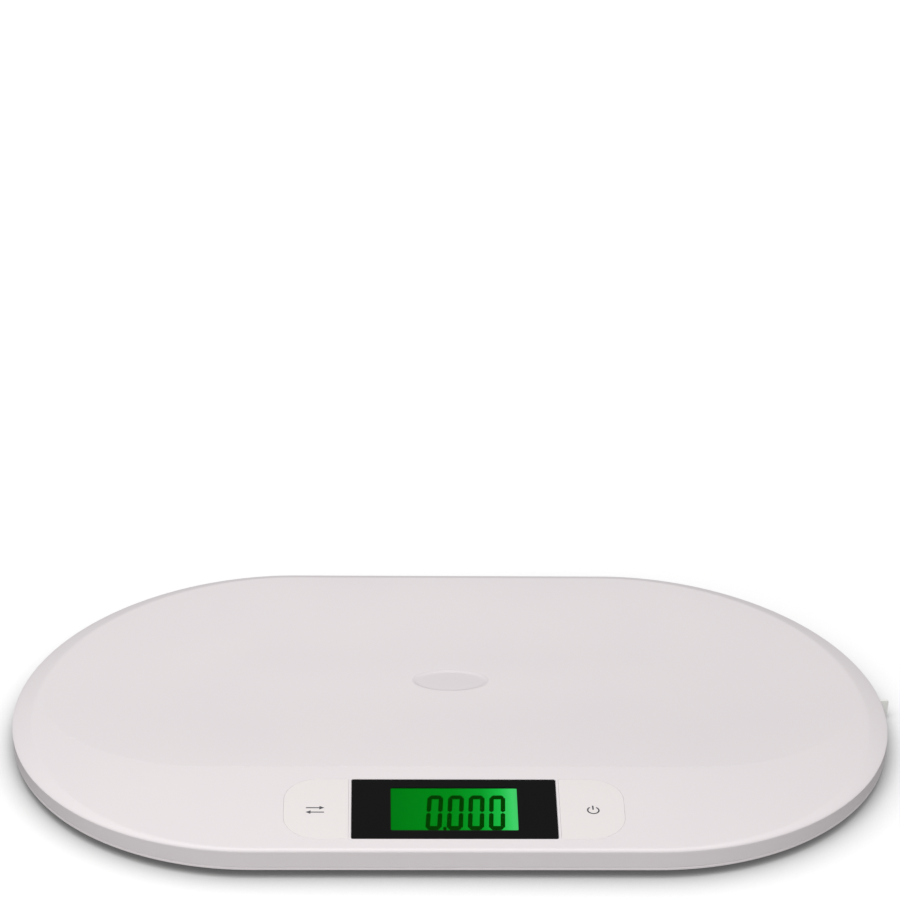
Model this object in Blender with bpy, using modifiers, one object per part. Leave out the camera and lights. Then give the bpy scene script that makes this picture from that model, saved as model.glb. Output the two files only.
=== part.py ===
"""Digital baby weighing scale with a pull-out measuring tape, as separate pieces.

Metres, +Z up, origin on the table under the centre of the tray. The user stands at -Y,
where the console is, and the tape comes out of the +X end.
"""

import math

import bmesh
import bpy
from mathutils import Matrix, Vector
from mathutils.bvhtree import BVHTree

# Tray outline and heights
TRAY_LENGTH = 0.550
TRAY_DEPTH = 0.325
FLOOR_GAP = 0.006
WALL_HEIGHT = 0.0135
EDGE_RADIUS = 0.002
RIM_DROP_AT_END = 0.0044
RIM_DROP_AT_BACK = 0.0026
RIM_ROUND_SHARE = 0.9
RIM_SLOPE_SHARE = 0.7
SHELL_WALL = 0.0018
GAP = 0.0003
OVERRUN = 0.002
JOIN = 0.0006
MERGE = 0.000003

# Dish in the top shell
DISH_END_LAND = 0.015
DISH_BACK_LAND = 0.0055
CONSOLE_DEPTH = 0.0805
DISH_WIDEST_Y = 0.010
DISH_FRONT_STRAIGHT = 0.294
DISH_DEPTH = 0.0062
DISH_FLOOR_TO_REEL = 0.058
DISH_FLOOR_WIDTH = 0.037
DISH_STEP_SHARES = (0.0, 0.1, 0.26, 0.46, 0.7, 1.0)
DISH_CREASE_SHARE = 0.35
DIMPLE_LENGTH = 0.051
DIMPLE_WIDTH = 0.026
DIMPLE_DEPTH = 0.0008
DIMPLE_BEFORE_MIDDLE = 0.011
END_STEPS = 20
EDGE_STEPS = 3

# Ribs under the dish's flat floor and on the cover
RIB_THICKNESS = 0.0012
DISH_RIB_DEPTH = 0.0035
DISH_RIBS_ACROSS = 7
DISH_RIB_SPACING = 0.022
DISH_RIB_REACH = 0.0175
COVER_RIB_HEIGHT = 0.002
COVER_RIB_PITCH = 0.045
COVER_RIBS_EACH_WAY = 3

# Bottom cover
COVER_WALL = 0.0016
COVER_DROP = 0.003
COVER_RIM = 0.012
COVER_RAMP = 0.012
RAMP_STEPS = 3

# Console: window, display, keys and board
WINDOW_WIDTH = 0.118
WINDOW_DEPTH = 0.057
WINDOW_FRONT_LAND = 0.0102
WINDOW_THICKNESS = 0.0008
WINDOW_RECESS = 0.0001
WINDOW_CORNER = 0.0012
LCD_VIEW_WIDTH = 0.074
LCD_VIEW_DEPTH = 0.040
LCD_MARGIN = 0.003
LCD_THICKNESS = 0.0024
VIEW_MARGIN = 0.0015
BACKLIGHT_THICKNESS = 0.003
HOLDER_WALL = 0.0015
KEY_WIDTH = 0.0367
KEY_CORNER = 0.020
KEY_WEB = 0.0014
KEY_PROUD = 0.0001
KEY_FLANGE = 0.0009
KEY_FLANGE_LIP = 0.0012
KEY_BOSS_RADIUS = 0.003
KEY_TRAVEL = 0.0006
KEY_ARC_STEPS = 10
SWITCH_SIDE = 0.006
SWITCH_HEIGHT = 0.0032
SWITCH_STEM_RADIUS = 0.0017
SWITCH_STEM_OUT = 0.0009
SWITCH_STEM_IN = 0.0016
BOARD_THICKNESS = 0.0016
BOARD_LENGTH = 0.212
BOARD_DEPTH = 0.054
BOARD_CORNER = 0.004
BOARD_STAKE_END = 0.005
BOARD_STAKE_SIDE = 0.0055
STAKE_BOSS_RADIUS = 0.003
STAKE_RADIUS = 0.0012
STAKE_HEAD_RADIUS = 0.0022
STAKE_HEAD_HEIGHT = 0.0008
CONTROLLER_SIDE = 0.010
CONTROLLER_HEIGHT = 0.0014
CONVERTER_LENGTH = 0.010
CONVERTER_WIDTH = 0.004
CONVERTER_HEIGHT = 0.0015
CHIP_BESIDE_HOLDER = 0.004

# Feet and load cells
FOOT_END_INSET = 0.085
FOOT_SIDE_INSET = 0.0875
FOOT_WINDOW_RADIUS = 0.0146
FOOT_SEAT_WALL = 0.0018
FOOT_SEAT_HEIGHT = 0.0008
FOOT_RADIUS = 0.013
FOOT_RIM = 0.0017
FOOT_RIM_Z = 0.0012
FOOT_RECESS = 0.0009
FOOT_DISC_THICKNESS = 0.0026
FOOT_HUB_RADIUS = 0.005
PAD_RADIUS = 0.011
CELL_LENGTH = 0.036
CELL_WIDTH = 0.030
CELL_THICKNESS = 0.0012
CELL_OPENING_LENGTH = 0.022
CELL_OPENING_WIDTH = 0.020
CELL_TONGUE_WIDTH = 0.013
GAUGE_LENGTH = 0.005
GAUGE_WIDTH = 0.004
GAUGE_HEIGHT = 0.0006
POST_SIDE = 0.002
POST_HEIGHT = 0.004

# Cover screws: all on one line inside the tray's edge
SCREW_INSET = 0.0285
FRONT_SCREW_BESIDE_BOARD = 0.0065
END_SCREW_ANGLES_DEG = (-23.0, 35.0)
BACK_SCREW_SHARE = 0.2545
SCREW_RADIUS = 0.0012
SCREW_LENGTH = 0.009
SCREW_HEAD_RADIUS = 0.0028
SCREW_HEAD_HEIGHT = 0.0015
CUP_WALL = 0.0014
CUP_FLOOR = 0.0012
CUP_RECESS = 0.0024
BOSS_RADIUS = 0.0034
PILOT_CLEARANCE = 0.0003
PILOT_SPARE = 0.0008

# Battery bay
CELL_AAA_RADIUS = 0.00525
CELL_AAA_LENGTH = 0.0445
CELL_AAA_NUB = 0.0009
CELL_AAA_NUB_RADIUS = 0.0019
BAY_PITCH = 0.0114
BAY_SIDE_ROOM = 0.0013
BAY_CONTACT_ROOM = 0.0042
BAY_WALL = 0.0013
BAY_BESIDE_BOARD = 0.0045
BAY_BEHIND_BOARD_FRONT = 0.0318
DOOR_THICKNESS = 0.0014
TONGUE_WIDTH = 0.005
TONGUE_REACH = 0.0012
TONGUE_THICKNESS = 0.001
TONGUE_ROOT = 0.0023
TONGUE_SPREAD_SHARE = 0.3
TONGUE_SLOT_HEIGHT = 0.0024
LATCH_WIDTH = 0.016
LATCH_REACH = 0.0027
CONTACT_THICKNESS = 0.0004
CONTACT_HEIGHT = 0.0085
CONTACT_WIDTH = 0.0085
CONTACT_SPRING_RADIUS = 0.0026
CONTACT_WIRE_RADIUS = 0.0003
CONTACT_SPRING_TURNS = 3
CONTACT_BUMP_WIDTH = 0.0044

# Measuring tape
REEL_END_INSET = 0.041
TAPE_LINE_Y = 0.0015
PACK_RADIUS = 0.014
TAPE_WIDTH = 0.0071
TAPE_THICKNESS = 0.0003
DRUM_FLANGE = 0.0004
FLANGE_LIP = 0.0006
DRUM_WALL = 0.0008
DRUM_OUTER = 0.0104
DRUM_WEB = 0.0006
DRUM_WEB_TOP_SHARE = 0.6
CASE_WALL = 0.001
CASE_ROOF = 0.0005
CASE_ROOM = 0.0004
CASE_SLOT = 0.0019
EAR_LENGTH = 0.0065
EAR_WIDTH = 0.006
EAR_THICKNESS = 0.0012
EAR_ANGLES_DEG = (60.0, 240.0)
EAR_PIN_RADIUS = 0.0012
EAR_PIN_HEIGHT = 0.0026
SLEEVE_WALL = 0.0008
SLEEVE_BORE = 0.0061
BUTTON_RADIUS = 0.005
BUTTON_PROUD = 0.0004
BUTTON_DOME = 0.0004
BUTTON_FLANGE_LIP = 0.0008
BUTTON_FLANGE_HEIGHT = 0.0008
BUTTON_STEM_RADIUS = 0.002
BUTTON_RING_RADIUS = 0.0073
BUTTON_RING_DEPTH = 0.0005
BRAKE_RADIUS = 0.0088
BRAKE_THICKNESS = 0.0008
BRAKE_HUB_RADIUS = 0.0036
BRAKE_HUB_HEIGHT = 0.0009
BRAKE_SPRING_RADIUS = 0.0052
BRAKE_SPRING_WIRE = 0.0003
BRAKE_SPRING_TURNS = 2.25
RETURN_SPRING_THICKNESS = 0.00025
RETURN_SPRING_TURNS = 2.75
WALL_SLOT_WIDTH = 0.0016
TAB_THICKNESS = 0.002
TAB_HEIGHT = 0.010
TAB_REACH = 0.006
TAB_NECK_THICKNESS = 0.001
TAB_NECK_LENGTH = 0.007
TAB_CORNER = 0.001

# Leads
LEAD_RADIUS = 0.0009
LEAD_LIFT = 0.0012
LEAD_AT_CELL = 0.0006
LEAD_SWEEP = 0.030
LEAD_TURN_SHARE = 0.4
LEAD_BEHIND_BOARD = 0.006
LEAD_UNDER_BOARD = 0.003
LEAD_FRONT_INSET = 0.010
LEAD_BACK_INSET = 0.015
LEAD_RISE = 0.0024
LEAD_BESIDE_STAKE = 0.0031

TURN_STEPS = 20
SMALL_TURN_STEPS = 12
WIRE_STEPS_PER_TURN = 8

# Heights and places that follow from the sizes above
end_radius = TRAY_DEPTH / 2
end_x = TRAY_LENGTH / 2 - end_radius
rim_z = FLOOR_GAP + WALL_HEIGHT
shell_under = rim_z - SHELL_WALL
pan_under = FLOOR_GAP - COVER_DROP
pan_top = pan_under + COVER_WALL

dish_half_length = TRAY_LENGTH / 2 - DISH_END_LAND
dish_back = end_radius - DISH_BACK_LAND
dish_front = CONSOLE_DEPTH - end_radius
dish_middle_y = (dish_front + dish_back) / 2

window_y = WINDOW_FRONT_LAND + WINDOW_DEPTH / 2 - end_radius
window_floor = rim_z - WINDOW_RECESS - WINDOW_THICKNESS - GAP
lcd_top = shell_under - GAP
lcd_bottom = lcd_top - LCD_THICKNESS
backlight_top = lcd_bottom - GAP
backlight_bottom = backlight_top - BACKLIGHT_THICKNESS
board_top = backlight_bottom - GAP
board_under = board_top - BOARD_THICKNESS
glass_width = LCD_VIEW_WIDTH + 2 * LCD_MARGIN
glass_depth = LCD_VIEW_DEPTH + 2 * LCD_MARGIN
board_half = BOARD_LENGTH / 2
board_front = window_y - BOARD_DEPTH / 2
board_back = window_y + BOARD_DEPTH / 2

key_inner_x = WINDOW_WIDTH / 2 + GAP + KEY_WEB + GAP
key_x = key_inner_x + KEY_WIDTH / 2
switch_bottom = board_top + GAP
switch_top = switch_bottom + SWITCH_HEIGHT
stem_top = switch_top + SWITCH_STEM_OUT
key_flange_top = shell_under - GAP
key_flange_bottom = key_flange_top - KEY_FLANGE

foot_x = TRAY_LENGTH / 2 - FOOT_END_INSET
foot_y = end_radius - FOOT_SIDE_INSET
seat_top = pan_top + FOOT_SEAT_HEIGHT
cell_bottom = seat_top + GAP
cell_top = cell_bottom + CELL_THICKNESS

head_top = pan_under + CUP_RECESS - GAP
cup_top = pan_under + CUP_RECESS + CUP_FLOOR
boss_bottom = cup_top + GAP

bay_length = CELL_AAA_LENGTH + 2 * BAY_CONTACT_ROOM
bay_width = BAY_PITCH + 2 * (CELL_AAA_RADIUS + BAY_SIDE_ROOM)
bay_right = -board_half - BAY_BESIDE_BOARD - BAY_WALL
bay_left = bay_right - bay_length
bay_x = (bay_left + bay_right) / 2
bay_front = board_front + BAY_BEHIND_BOARD_FRONT
bay_back = bay_front + bay_width
bay_y = (bay_front + bay_back) / 2
battery_bottom = pan_under + DOOR_THICKNESS + GAP
battery_z = battery_bottom + CELL_AAA_RADIUS
bay_ceiling = battery_z + CELL_AAA_RADIUS + GAP
contact_spring_length = BAY_CONTACT_ROOM - 2 * GAP - CONTACT_THICKNESS

reel_x = TRAY_LENGTH / 2 - REEL_END_INSET
tape_gap = GAP + TAPE_THICKNESS / 2
reel_y = TAPE_LINE_Y + tape_gap + PACK_RADIUS
drum_bottom = pan_top + GAP
tape_bottom = drum_bottom + DRUM_FLANGE + GAP
tape_top = tape_bottom + TAPE_WIDTH
drum_top = tape_top + GAP + DRUM_FLANGE
roof_under = drum_top + GAP
case_top = roof_under + CASE_ROOF
flange_radius = PACK_RADIUS + FLANGE_LIP
case_inner = flange_radius + CASE_ROOM
case_outer = case_inner + CASE_WALL
dish_floor_end = reel_x - case_outer - DISH_FLOOR_TO_REEL
drum_inner = DRUM_OUTER - DRUM_WALL
sleeve_outer = SLEEVE_BORE + SLEEVE_WALL
web_top = tape_bottom + TAPE_WIDTH * DRUM_WEB_TOP_SHARE
web_bottom = web_top - DRUM_WEB
sleeve_top = web_top
brake_bottom = web_top + GAP
brake_top = brake_bottom + BRAKE_THICKNESS
button_flange_bottom = pan_top + GAP
button_flange_top = button_flange_bottom + BUTTON_FLANGE_HEIGHT
button_bottom = pan_under - BUTTON_PROUD
tab_left = TRAY_LENGTH / 2 + GAP
tab_right = TRAY_LENGTH / 2 + TAB_REACH


# Scene and materials


def start_scene():
    for obj in list(bpy.data.objects):
        bpy.data.objects.remove(obj)
    scene = bpy.context.scene
    scene.unit_settings.system = "METRIC"
    scene.unit_settings.scale_length = 1.0
    for name in ("baby_scale", "cutters"):
        scene.collection.children.link(bpy.data.collections.new(name))


def linear(hex_colour):
    """A colour written as sRGB hex, turned to the linear values of a shader."""
    channels = [int(hex_colour[i : i + 2], 16) / 255 for i in (0, 2, 4)]
    return [c / 12.92 if c <= 0.04045 else ((c + 0.055) / 1.055) ** 2.4 for c in channels] + [1.0]


def material(name, hex_colour, roughness, metallic=0.0, glow=0.0):
    found = bpy.data.materials.get(name)
    if found:
        return found
    made = bpy.data.materials.new(name)
    made.use_nodes = True
    shader = made.node_tree.nodes["Principled BSDF"]
    shader.inputs["Base Color"].default_value = linear(hex_colour)
    shader.inputs["Roughness"].default_value = roughness
    shader.inputs["Metallic"].default_value = metallic
    shader.inputs["Emission Color"].default_value = linear(hex_colour)
    shader.inputs["Emission Strength"].default_value = glow
    return made


def white_shell():
    return material("white_abs", "E6E2E3", 0.42)


def white_cover():
    return material("white_abs_underside", "E4E4E4", 0.5)


def key_white():
    return material("key_abs", "EAE7E7", 0.38)


def window_black():
    return material("black_acrylic", "121312", 0.08)


def lcd_green():
    return material("lcd_green", "1FA63C", 0.2, glow=0.4)


def clear_guide():
    return material("light_guide", "DDF5DF", 0.3)


def board_green():
    return material("fr4_board", "1E5B34", 0.45)


def chip_black():
    return material("epoxy_black", "1A1A1B", 0.6)


def spring_steel():
    return material("nickel_plated_steel", "B9BCC0", 0.28, metallic=1.0)


def cell_steel():
    return material("load_cell_steel", "A9ABAE", 0.35, metallic=1.0)


def foot_plastic():
    return material("grey_pp", "D5D5D4", 0.5)


def pad_rubber():
    return material("rubber_grey", "8E8E8D", 0.85)


def drum_plastic():
    return material("pom_white", "EFEFEC", 0.4)


def tape_white():
    return material("tape_vinyl", "F2F2EE", 0.5)


def battery_skin():
    return material("battery_sleeve", "3C6E8F", 0.3)


def lead_grey():
    return material("lead_pvc", "8A8D92", 0.55)


# Meshes


def link(obj, collection="baby_scale"):
    bpy.data.collections[collection].objects.link(obj)
    return obj


def named(name, bm, finish):
    """A closed or open bmesh as a named piece."""
    mesh = bpy.data.meshes.new(name)
    bm.to_mesh(mesh)
    bm.free()
    mesh.materials.append(finish)
    mesh.shade_smooth()
    mesh.set_sharp_from_angle(angle=math.radians(35))
    return link(bpy.data.objects.new(name, mesh))


def helper(name, bm):
    """A cutter or an added lump, which isn't a piece of its own."""
    mesh = bpy.data.meshes.new(name)
    bm.to_mesh(mesh)
    bm.free()
    obj = link(bpy.data.objects.new(name, mesh), "cutters")
    obj.hide_render = True
    obj.display_type = "WIRE"
    return obj


def boolean(obj, operation, name, bm):
    modifier = obj.modifiers.new(name, "BOOLEAN")
    modifier.operation = operation
    modifier.solver = "EXACT"
    modifier.object = helper(f"{obj.name}_{name}", bm)


def cut(obj, name, bm):
    boolean(obj, "DIFFERENCE", name, bm)


def join(obj, name, bm):
    boolean(obj, "UNION", name, bm)


def add_block(bm, low, high):
    """A box between two corners."""
    size = [b - a for a, b in zip(low, high)]
    middle = [(a + b) / 2 for a, b in zip(low, high)]
    place = Matrix.Translation(middle) @ Matrix.Diagonal((*size, 1.0))
    bmesh.ops.create_cube(bm, size=1.0, matrix=place)
    return bm


def block(low, high):
    return add_block(bmesh.new(), low, high)


def plate(low, high, corner):
    """A flat block with its four upright corners rounded."""
    bm = block(low, high)
    upright = [e for e in bm.edges if abs(e.verts[0].co.z - e.verts[1].co.z) > (high[2] - low[2]) / 2]
    bmesh.ops.bevel(bm, geom=upright, offset=corner, segments=3, profile=0.5, affect="EDGES")
    return bm


def add_disc(bm, x, y, radius, bottom, top, steps=TURN_STEPS, turn=0.0):
    """An upright cylinder."""
    place = Matrix.Translation((x, y, (bottom + top) / 2)) @ Matrix.Rotation(turn, 4, "Z")
    bmesh.ops.create_cone(
        bm,
        cap_ends=True,
        segments=steps,
        radius1=radius,
        radius2=radius,
        depth=top - bottom,
        matrix=place,
    )
    return bm


def disc(x, y, radius, bottom, top, steps=TURN_STEPS):
    return add_disc(bmesh.new(), x, y, radius, bottom, top, steps)


def add_turned(bm, x, y, profile, steps):
    """Turn a profile of (radius, height) points, which starts and ends on the axis, into a solid."""
    verts = [bm.verts.new((x + radius, y, height)) for radius, height in profile]
    edges = [bm.edges.new(pair) for pair in zip(verts, verts[1:])]
    before = set(bm.faces)
    bmesh.ops.spin(
        bm,
        geom=verts + edges,
        cent=(x, y, 0),
        axis=(0, 0, 1),
        angle=math.tau,
        steps=steps,
        use_merge=True,
    )
    faces = [face for face in bm.faces if face not in before]
    points = list({vert for face in faces for vert in face.verts})
    bmesh.ops.remove_doubles(bm, verts=points, dist=MERGE)
    bmesh.ops.recalc_face_normals(bm, faces=[face for face in bm.faces if face not in before])
    return bm


def turned(name, x, y, profile, finish, steps=TURN_STEPS):
    """A turned piece: its profile runs down the outer side, and a Screw turns it."""
    bm = bmesh.new()
    verts = [bm.verts.new((radius, 0, height)) for radius, height in profile]
    closed = profile[0][0] > 0
    for pair in zip(verts, verts[1:] + (verts[:1] if closed else [])):
        bm.edges.new(pair)
    obj = named(name, bm, finish)
    obj.location = (x, y, 0)
    screw = obj.modifiers.new("turn", "SCREW")
    screw.axis = "Z"
    screw.steps = screw.render_steps = steps
    screw.use_merge_vertices = True
    screw.merge_threshold = MERGE
    screw.use_smooth_shade = True
    return obj


def prism_bm(outline, bottom, top):
    """An upright prism over a flat outline of (x, y) points."""
    curve = bpy.data.curves.new("outline", "CURVE")
    curve.dimensions = "2D"
    curve.fill_mode = "BOTH"
    curve.extrude = (top - bottom) / 2
    spline = curve.splines.new("POLY")
    spline.points.add(len(outline) - 1)
    for point, (x, y) in zip(spline.points, outline):
        point.co = (x, y, 0, 1)
    spline.use_cyclic_u = True
    return mesh_of_curve(curve, Matrix.Translation((0, 0, (bottom + top) / 2)))


def mesh_of_curve(curve, place):
    """The evaluated mesh of a curve, closed and facing out, with the curve removed."""
    obj = link(bpy.data.objects.new("outline", curve), "cutters")
    bpy.context.view_layer.update()
    graph = bpy.context.evaluated_depsgraph_get()
    mesh = bpy.data.meshes.new_from_object(obj.evaluated_get(graph))
    bm = bmesh.new()
    bm.from_mesh(mesh)
    bmesh.ops.transform(bm, matrix=place, verts=bm.verts)
    bmesh.ops.remove_doubles(bm, verts=bm.verts, dist=MERGE)
    bmesh.ops.recalc_face_normals(bm, faces=bm.faces)
    bpy.data.objects.remove(obj)
    bpy.data.meshes.remove(mesh)
    bpy.data.curves.remove(curve)
    return bm


def tube_curve(name, points, radius):
    curve = bpy.data.curves.new(name, "CURVE")
    curve.dimensions = "3D"
    curve.bevel_depth = radius
    curve.bevel_resolution = 1
    curve.use_fill_caps = True
    spline = curve.splines.new("POLY")
    spline.points.add(len(points) - 1)
    for point, (x, y, z) in zip(spline.points, points):
        point.co = (x, y, z, 1)
    return curve


def coil(x, y, radius, bottom, top, turns):
    """Points of a round coil about an upright axis."""
    count = int(turns * WIRE_STEPS_PER_TURN)
    return [
        (
            x + radius * math.cos(math.tau * turns * i / count),
            y + radius * math.sin(math.tau * turns * i / count),
            bottom + (top - bottom) * i / count,
        )
        for i in range(count + 1)
    ]


def smooth_route(knots, per_span=3):
    """Points of a smooth curve through the knots of a lead's route."""
    ends = [Vector(knots[0])] + [Vector(k) for k in knots] + [Vector(knots[-1])]
    points = []
    for before, here, there, after in zip(ends, ends[1:], ends[2:], ends[3:]):
        for i in range(per_span):
            t = i / per_span
            curved = (
                here * 2
                + (there - before) * t
                + (before * 2 - here * 5 + there * 4 - after) * t * t
                + (here * 3 - before - there * 3 + after) * t**3
            ) / 2
            points.append(tuple(curved))
    return points + [tuple(ends[-1])]


def baked(obj):
    """Replace a piece's modifiers by the mesh that they make, for pieces that share it."""
    bpy.context.view_layer.update()
    graph = bpy.context.evaluated_depsgraph_get()
    mesh = bpy.data.meshes.new_from_object(obj.evaluated_get(graph))
    obj.modifiers.clear()
    obj.data = mesh
    return obj


def turn_about(obj, x, y, z):
    """Put a moving piece's origin on its joint, with the piece left where it is."""
    obj.data.transform(Matrix.Translation((-x, -y, -z)))
    obj.location = (x, y, z)


def copy_at(name, source, x, y, turn=0.0):
    made = link(bpy.data.objects.new(name, source.data))
    made.location = (x, y, 0)
    made.rotation_euler = (0, 0, turn)
    return made


# Outlines, counter-clockwise from the front of the right end


def both_ends(point):
    angles = [math.pi * i / END_STEPS - math.pi / 2 for i in range(END_STEPS + 1)]
    right = [point(angle) for angle in angles]
    return right + [(-x, *rest) for x, *rest in reversed(right)]


def rim_outline(inset):
    radius = end_radius - inset
    return both_ends(lambda a: (end_x + radius * math.cos(a), radius * math.sin(a)))


def rim_rounding(angle):
    """How far the tray's edge falls inwards and down, and how straight: a broad slope at the
    back and the ends, which turns to a small round edge in front."""
    if angle >= 0:
        towards_end = 1 - math.sin(angle)
        land, drop, slope = DISH_BACK_LAND * RIM_ROUND_SHARE, RIM_DROP_AT_BACK, RIM_SLOPE_SHARE
    else:
        towards_end = math.cos(angle) ** 2
        land, drop, slope = EDGE_RADIUS, EDGE_RADIUS, 0
    return (
        land + (DISH_END_LAND * RIM_ROUND_SHARE - land) * towards_end,
        drop + (RIM_DROP_AT_END - drop) * towards_end,
        slope + (RIM_SLOPE_SHARE - slope) * towards_end,
    )


def rim_edge(turn):
    """One line of the tray's rounded edge: turn runs from the wall to the rim, as an angle."""

    def point(angle):
        reach, drop, slope = rim_rounding(angle)
        radius = end_radius - reach * (1 - math.cos(turn))
        height = rim_z - drop * (slope * math.cos(turn) + (1 - slope) * (1 - math.sin(turn)))
        return (end_x + radius * math.cos(angle), radius * math.sin(angle), height)

    return both_ends(point)


def dish_edge(angle):
    """The dish's edge: round towards the back, longer and flatter towards the console."""
    if angle >= 0:
        radius = dish_back - DISH_WIDEST_Y
        return (
            dish_half_length - radius + radius * math.cos(angle),
            DISH_WIDEST_Y + radius * math.sin(angle),
        )
    straight = DISH_FRONT_STRAIGHT / 2
    return (
        straight + (dish_half_length - straight) * math.cos(angle),
        DISH_WIDEST_Y + (DISH_WIDEST_Y - dish_front) * math.sin(angle),
    )


def dish_floor(angle):
    radius = DISH_FLOOR_WIDTH / 2
    return (
        dish_floor_end - radius + radius * math.cos(angle),
        dish_middle_y + radius * math.sin(angle),
    )


def dish_outline(share):
    def point(angle):
        edge, floor = dish_edge(angle), dish_floor(angle)
        return tuple(a + (b - a) * share for a, b in zip(edge, floor))

    return both_ends(point)


def dish_fall(share):
    """How far the dish has gone down: a slight crease at its edge, then an easy ramp."""
    soft = 3 * share**2 - 2 * share**3
    crisp = 2 * share - share**2
    return DISH_DEPTH * (DISH_CREASE_SHARE * crisp + (1 - DISH_CREASE_SHARE) * soft)


def at_height(outline, z):
    return [(x, y, z) for x, y in outline]


def loft(rings, cap_first=False):
    """Faces between matched rings, with the last or the first ring filled."""
    bm = bmesh.new()
    rows = [[bm.verts.new(point) for point in ring] for ring in rings]
    for lower, upper in zip(rows, rows[1:]):
        for i in range(len(lower)):
            j = (i + 1) % len(lower)
            bm.faces.new((lower[i], lower[j], upper[j], upper[i]))
    bm.faces.new(list(reversed(rows[0])) if cap_first else rows[-1])
    return bm


def walled(obj, thickness):
    solidify = obj.modifiers.new("wall", "SOLIDIFY")
    solidify.thickness = thickness
    solidify.offset = -1
    solidify.use_even_offset = True
    solidify.use_quality_normals = True


# Places that repeat


def screw_places():
    """Four pairs at one distance from the tray's edge, just inside the cover's ramp."""
    radius = end_radius - SCREW_INSET
    front_x = board_half + FRONT_SCREW_BESIDE_BOARD
    places = [(front_x, -math.sqrt(radius**2 - max(0, front_x - end_x) ** 2))]
    for degrees in END_SCREW_ANGLES_DEG:
        angle = math.radians(degrees)
        places.append((end_x + radius * math.cos(angle), radius * math.sin(angle)))
    places.append((BACK_SCREW_SHARE * TRAY_LENGTH / 2, radius))
    return [(side * x, y) for x, y in places for side in (-1, 1)]


def foot_places():
    return {
        f"{row}_{side}": (x * foot_x, y * foot_y)
        for row, y in (("front", -1), ("back", 1))
        for side, x in (("left", -1), ("right", 1))
    }


def stake_places():
    return [
        (x * (board_half - BOARD_STAKE_END), y)
        for x in (-1, 1)
        for y in (board_front + BOARD_STAKE_SIDE, board_back - BOARD_STAKE_SIDE)
    ]


def key_outline(side, grow):
    """Half-moon key: straight beside the window, round away from it. grow widens it all round."""
    inner = key_inner_x - grow
    outer = key_inner_x + KEY_WIDTH + grow
    front = window_y - WINDOW_DEPTH / 2 - grow
    back = window_y + WINDOW_DEPTH / 2 + grow
    radius = KEY_CORNER + grow
    quarter = [math.pi / 2 * i / KEY_ARC_STEPS for i in range(KEY_ARC_STEPS + 1)]
    points = [(inner, front)]
    points += [
        (outer - radius + radius * math.sin(a), front + radius - radius * math.cos(a)) for a in quarter
    ]
    points += [
        (outer - radius + radius * math.cos(a), back - radius + radius * math.sin(a)) for a in quarter
    ]
    points += [(inner, back)]
    return [(side * x, y) for x, y in points]


# Top shell


def top_surface():
    rings = [at_height(rim_outline(0), FLOOR_GAP)]
    rings += [rim_edge(math.pi / 2 * step / EDGE_STEPS) for step in range(EDGE_STEPS + 1)]
    rings += [at_height(dish_outline(s), rim_z - dish_fall(s)) for s in DISH_STEP_SHARES]
    return loft(rings)


def surface_height(tree, x, y):
    """The top surface's height over a place."""
    return tree.ray_cast(Vector((x, y, rim_z + OVERRUN)), Vector((0, 0, -1)))[0].z


def spread(count, pitch):
    """Places of a row that is centred on zero."""
    return [(i - (count - 1) / 2) * pitch for i in range(count)]


def join_ribs(obj, ribs_along, ribs_across):
    """Ribs that cross are joined in two turns, because one mesh of them would cross itself."""
    for name, ribs in (("ribs_along", ribs_along), ("ribs_across", ribs_across)):
        bm = bmesh.new()
        for low, high in ribs:
            add_block(bm, low, high)
        join(obj, name, bm)


def join_dish_ribs(shell):
    """A lattice of ribs that stiffens the dish's flat floor from below."""
    top = rim_z - DISH_DEPTH - SHELL_WALL + JOIN
    low = top - JOIN - DISH_RIB_DEPTH
    half = RIB_THICKNESS / 2
    reach = dish_floor_end - DISH_FLOOR_WIDTH / 2
    near, far = dish_middle_y - DISH_RIB_REACH, dish_middle_y + DISH_RIB_REACH
    rows = [dish_middle_y + y for y in spread(2, DISH_RIB_SPACING)]
    along = [((-reach, y - half, low), (reach, y + half, top)) for y in rows]
    columns = spread(DISH_RIBS_ACROSS, 2 * reach / DISH_RIBS_ACROSS)
    across = [((x - half, near, low), (x + half, far, top)) for x in columns]
    join_ribs(shell, along, across)


def join_cover_ribs(cover):
    top = pan_top + COVER_RIB_HEIGHT
    low = pan_under + JOIN
    half = RIB_THICKNESS / 2
    reach = COVER_RIBS_EACH_WAY * COVER_RIB_PITCH / 2
    places = spread(COVER_RIBS_EACH_WAY, COVER_RIB_PITCH)
    along = [((-reach, y - half, low), (reach, y + half, top)) for y in places]
    across = [((x - half, -reach, low), (x + half, reach, top)) for x in places]
    join_ribs(cover, along, across)


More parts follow.
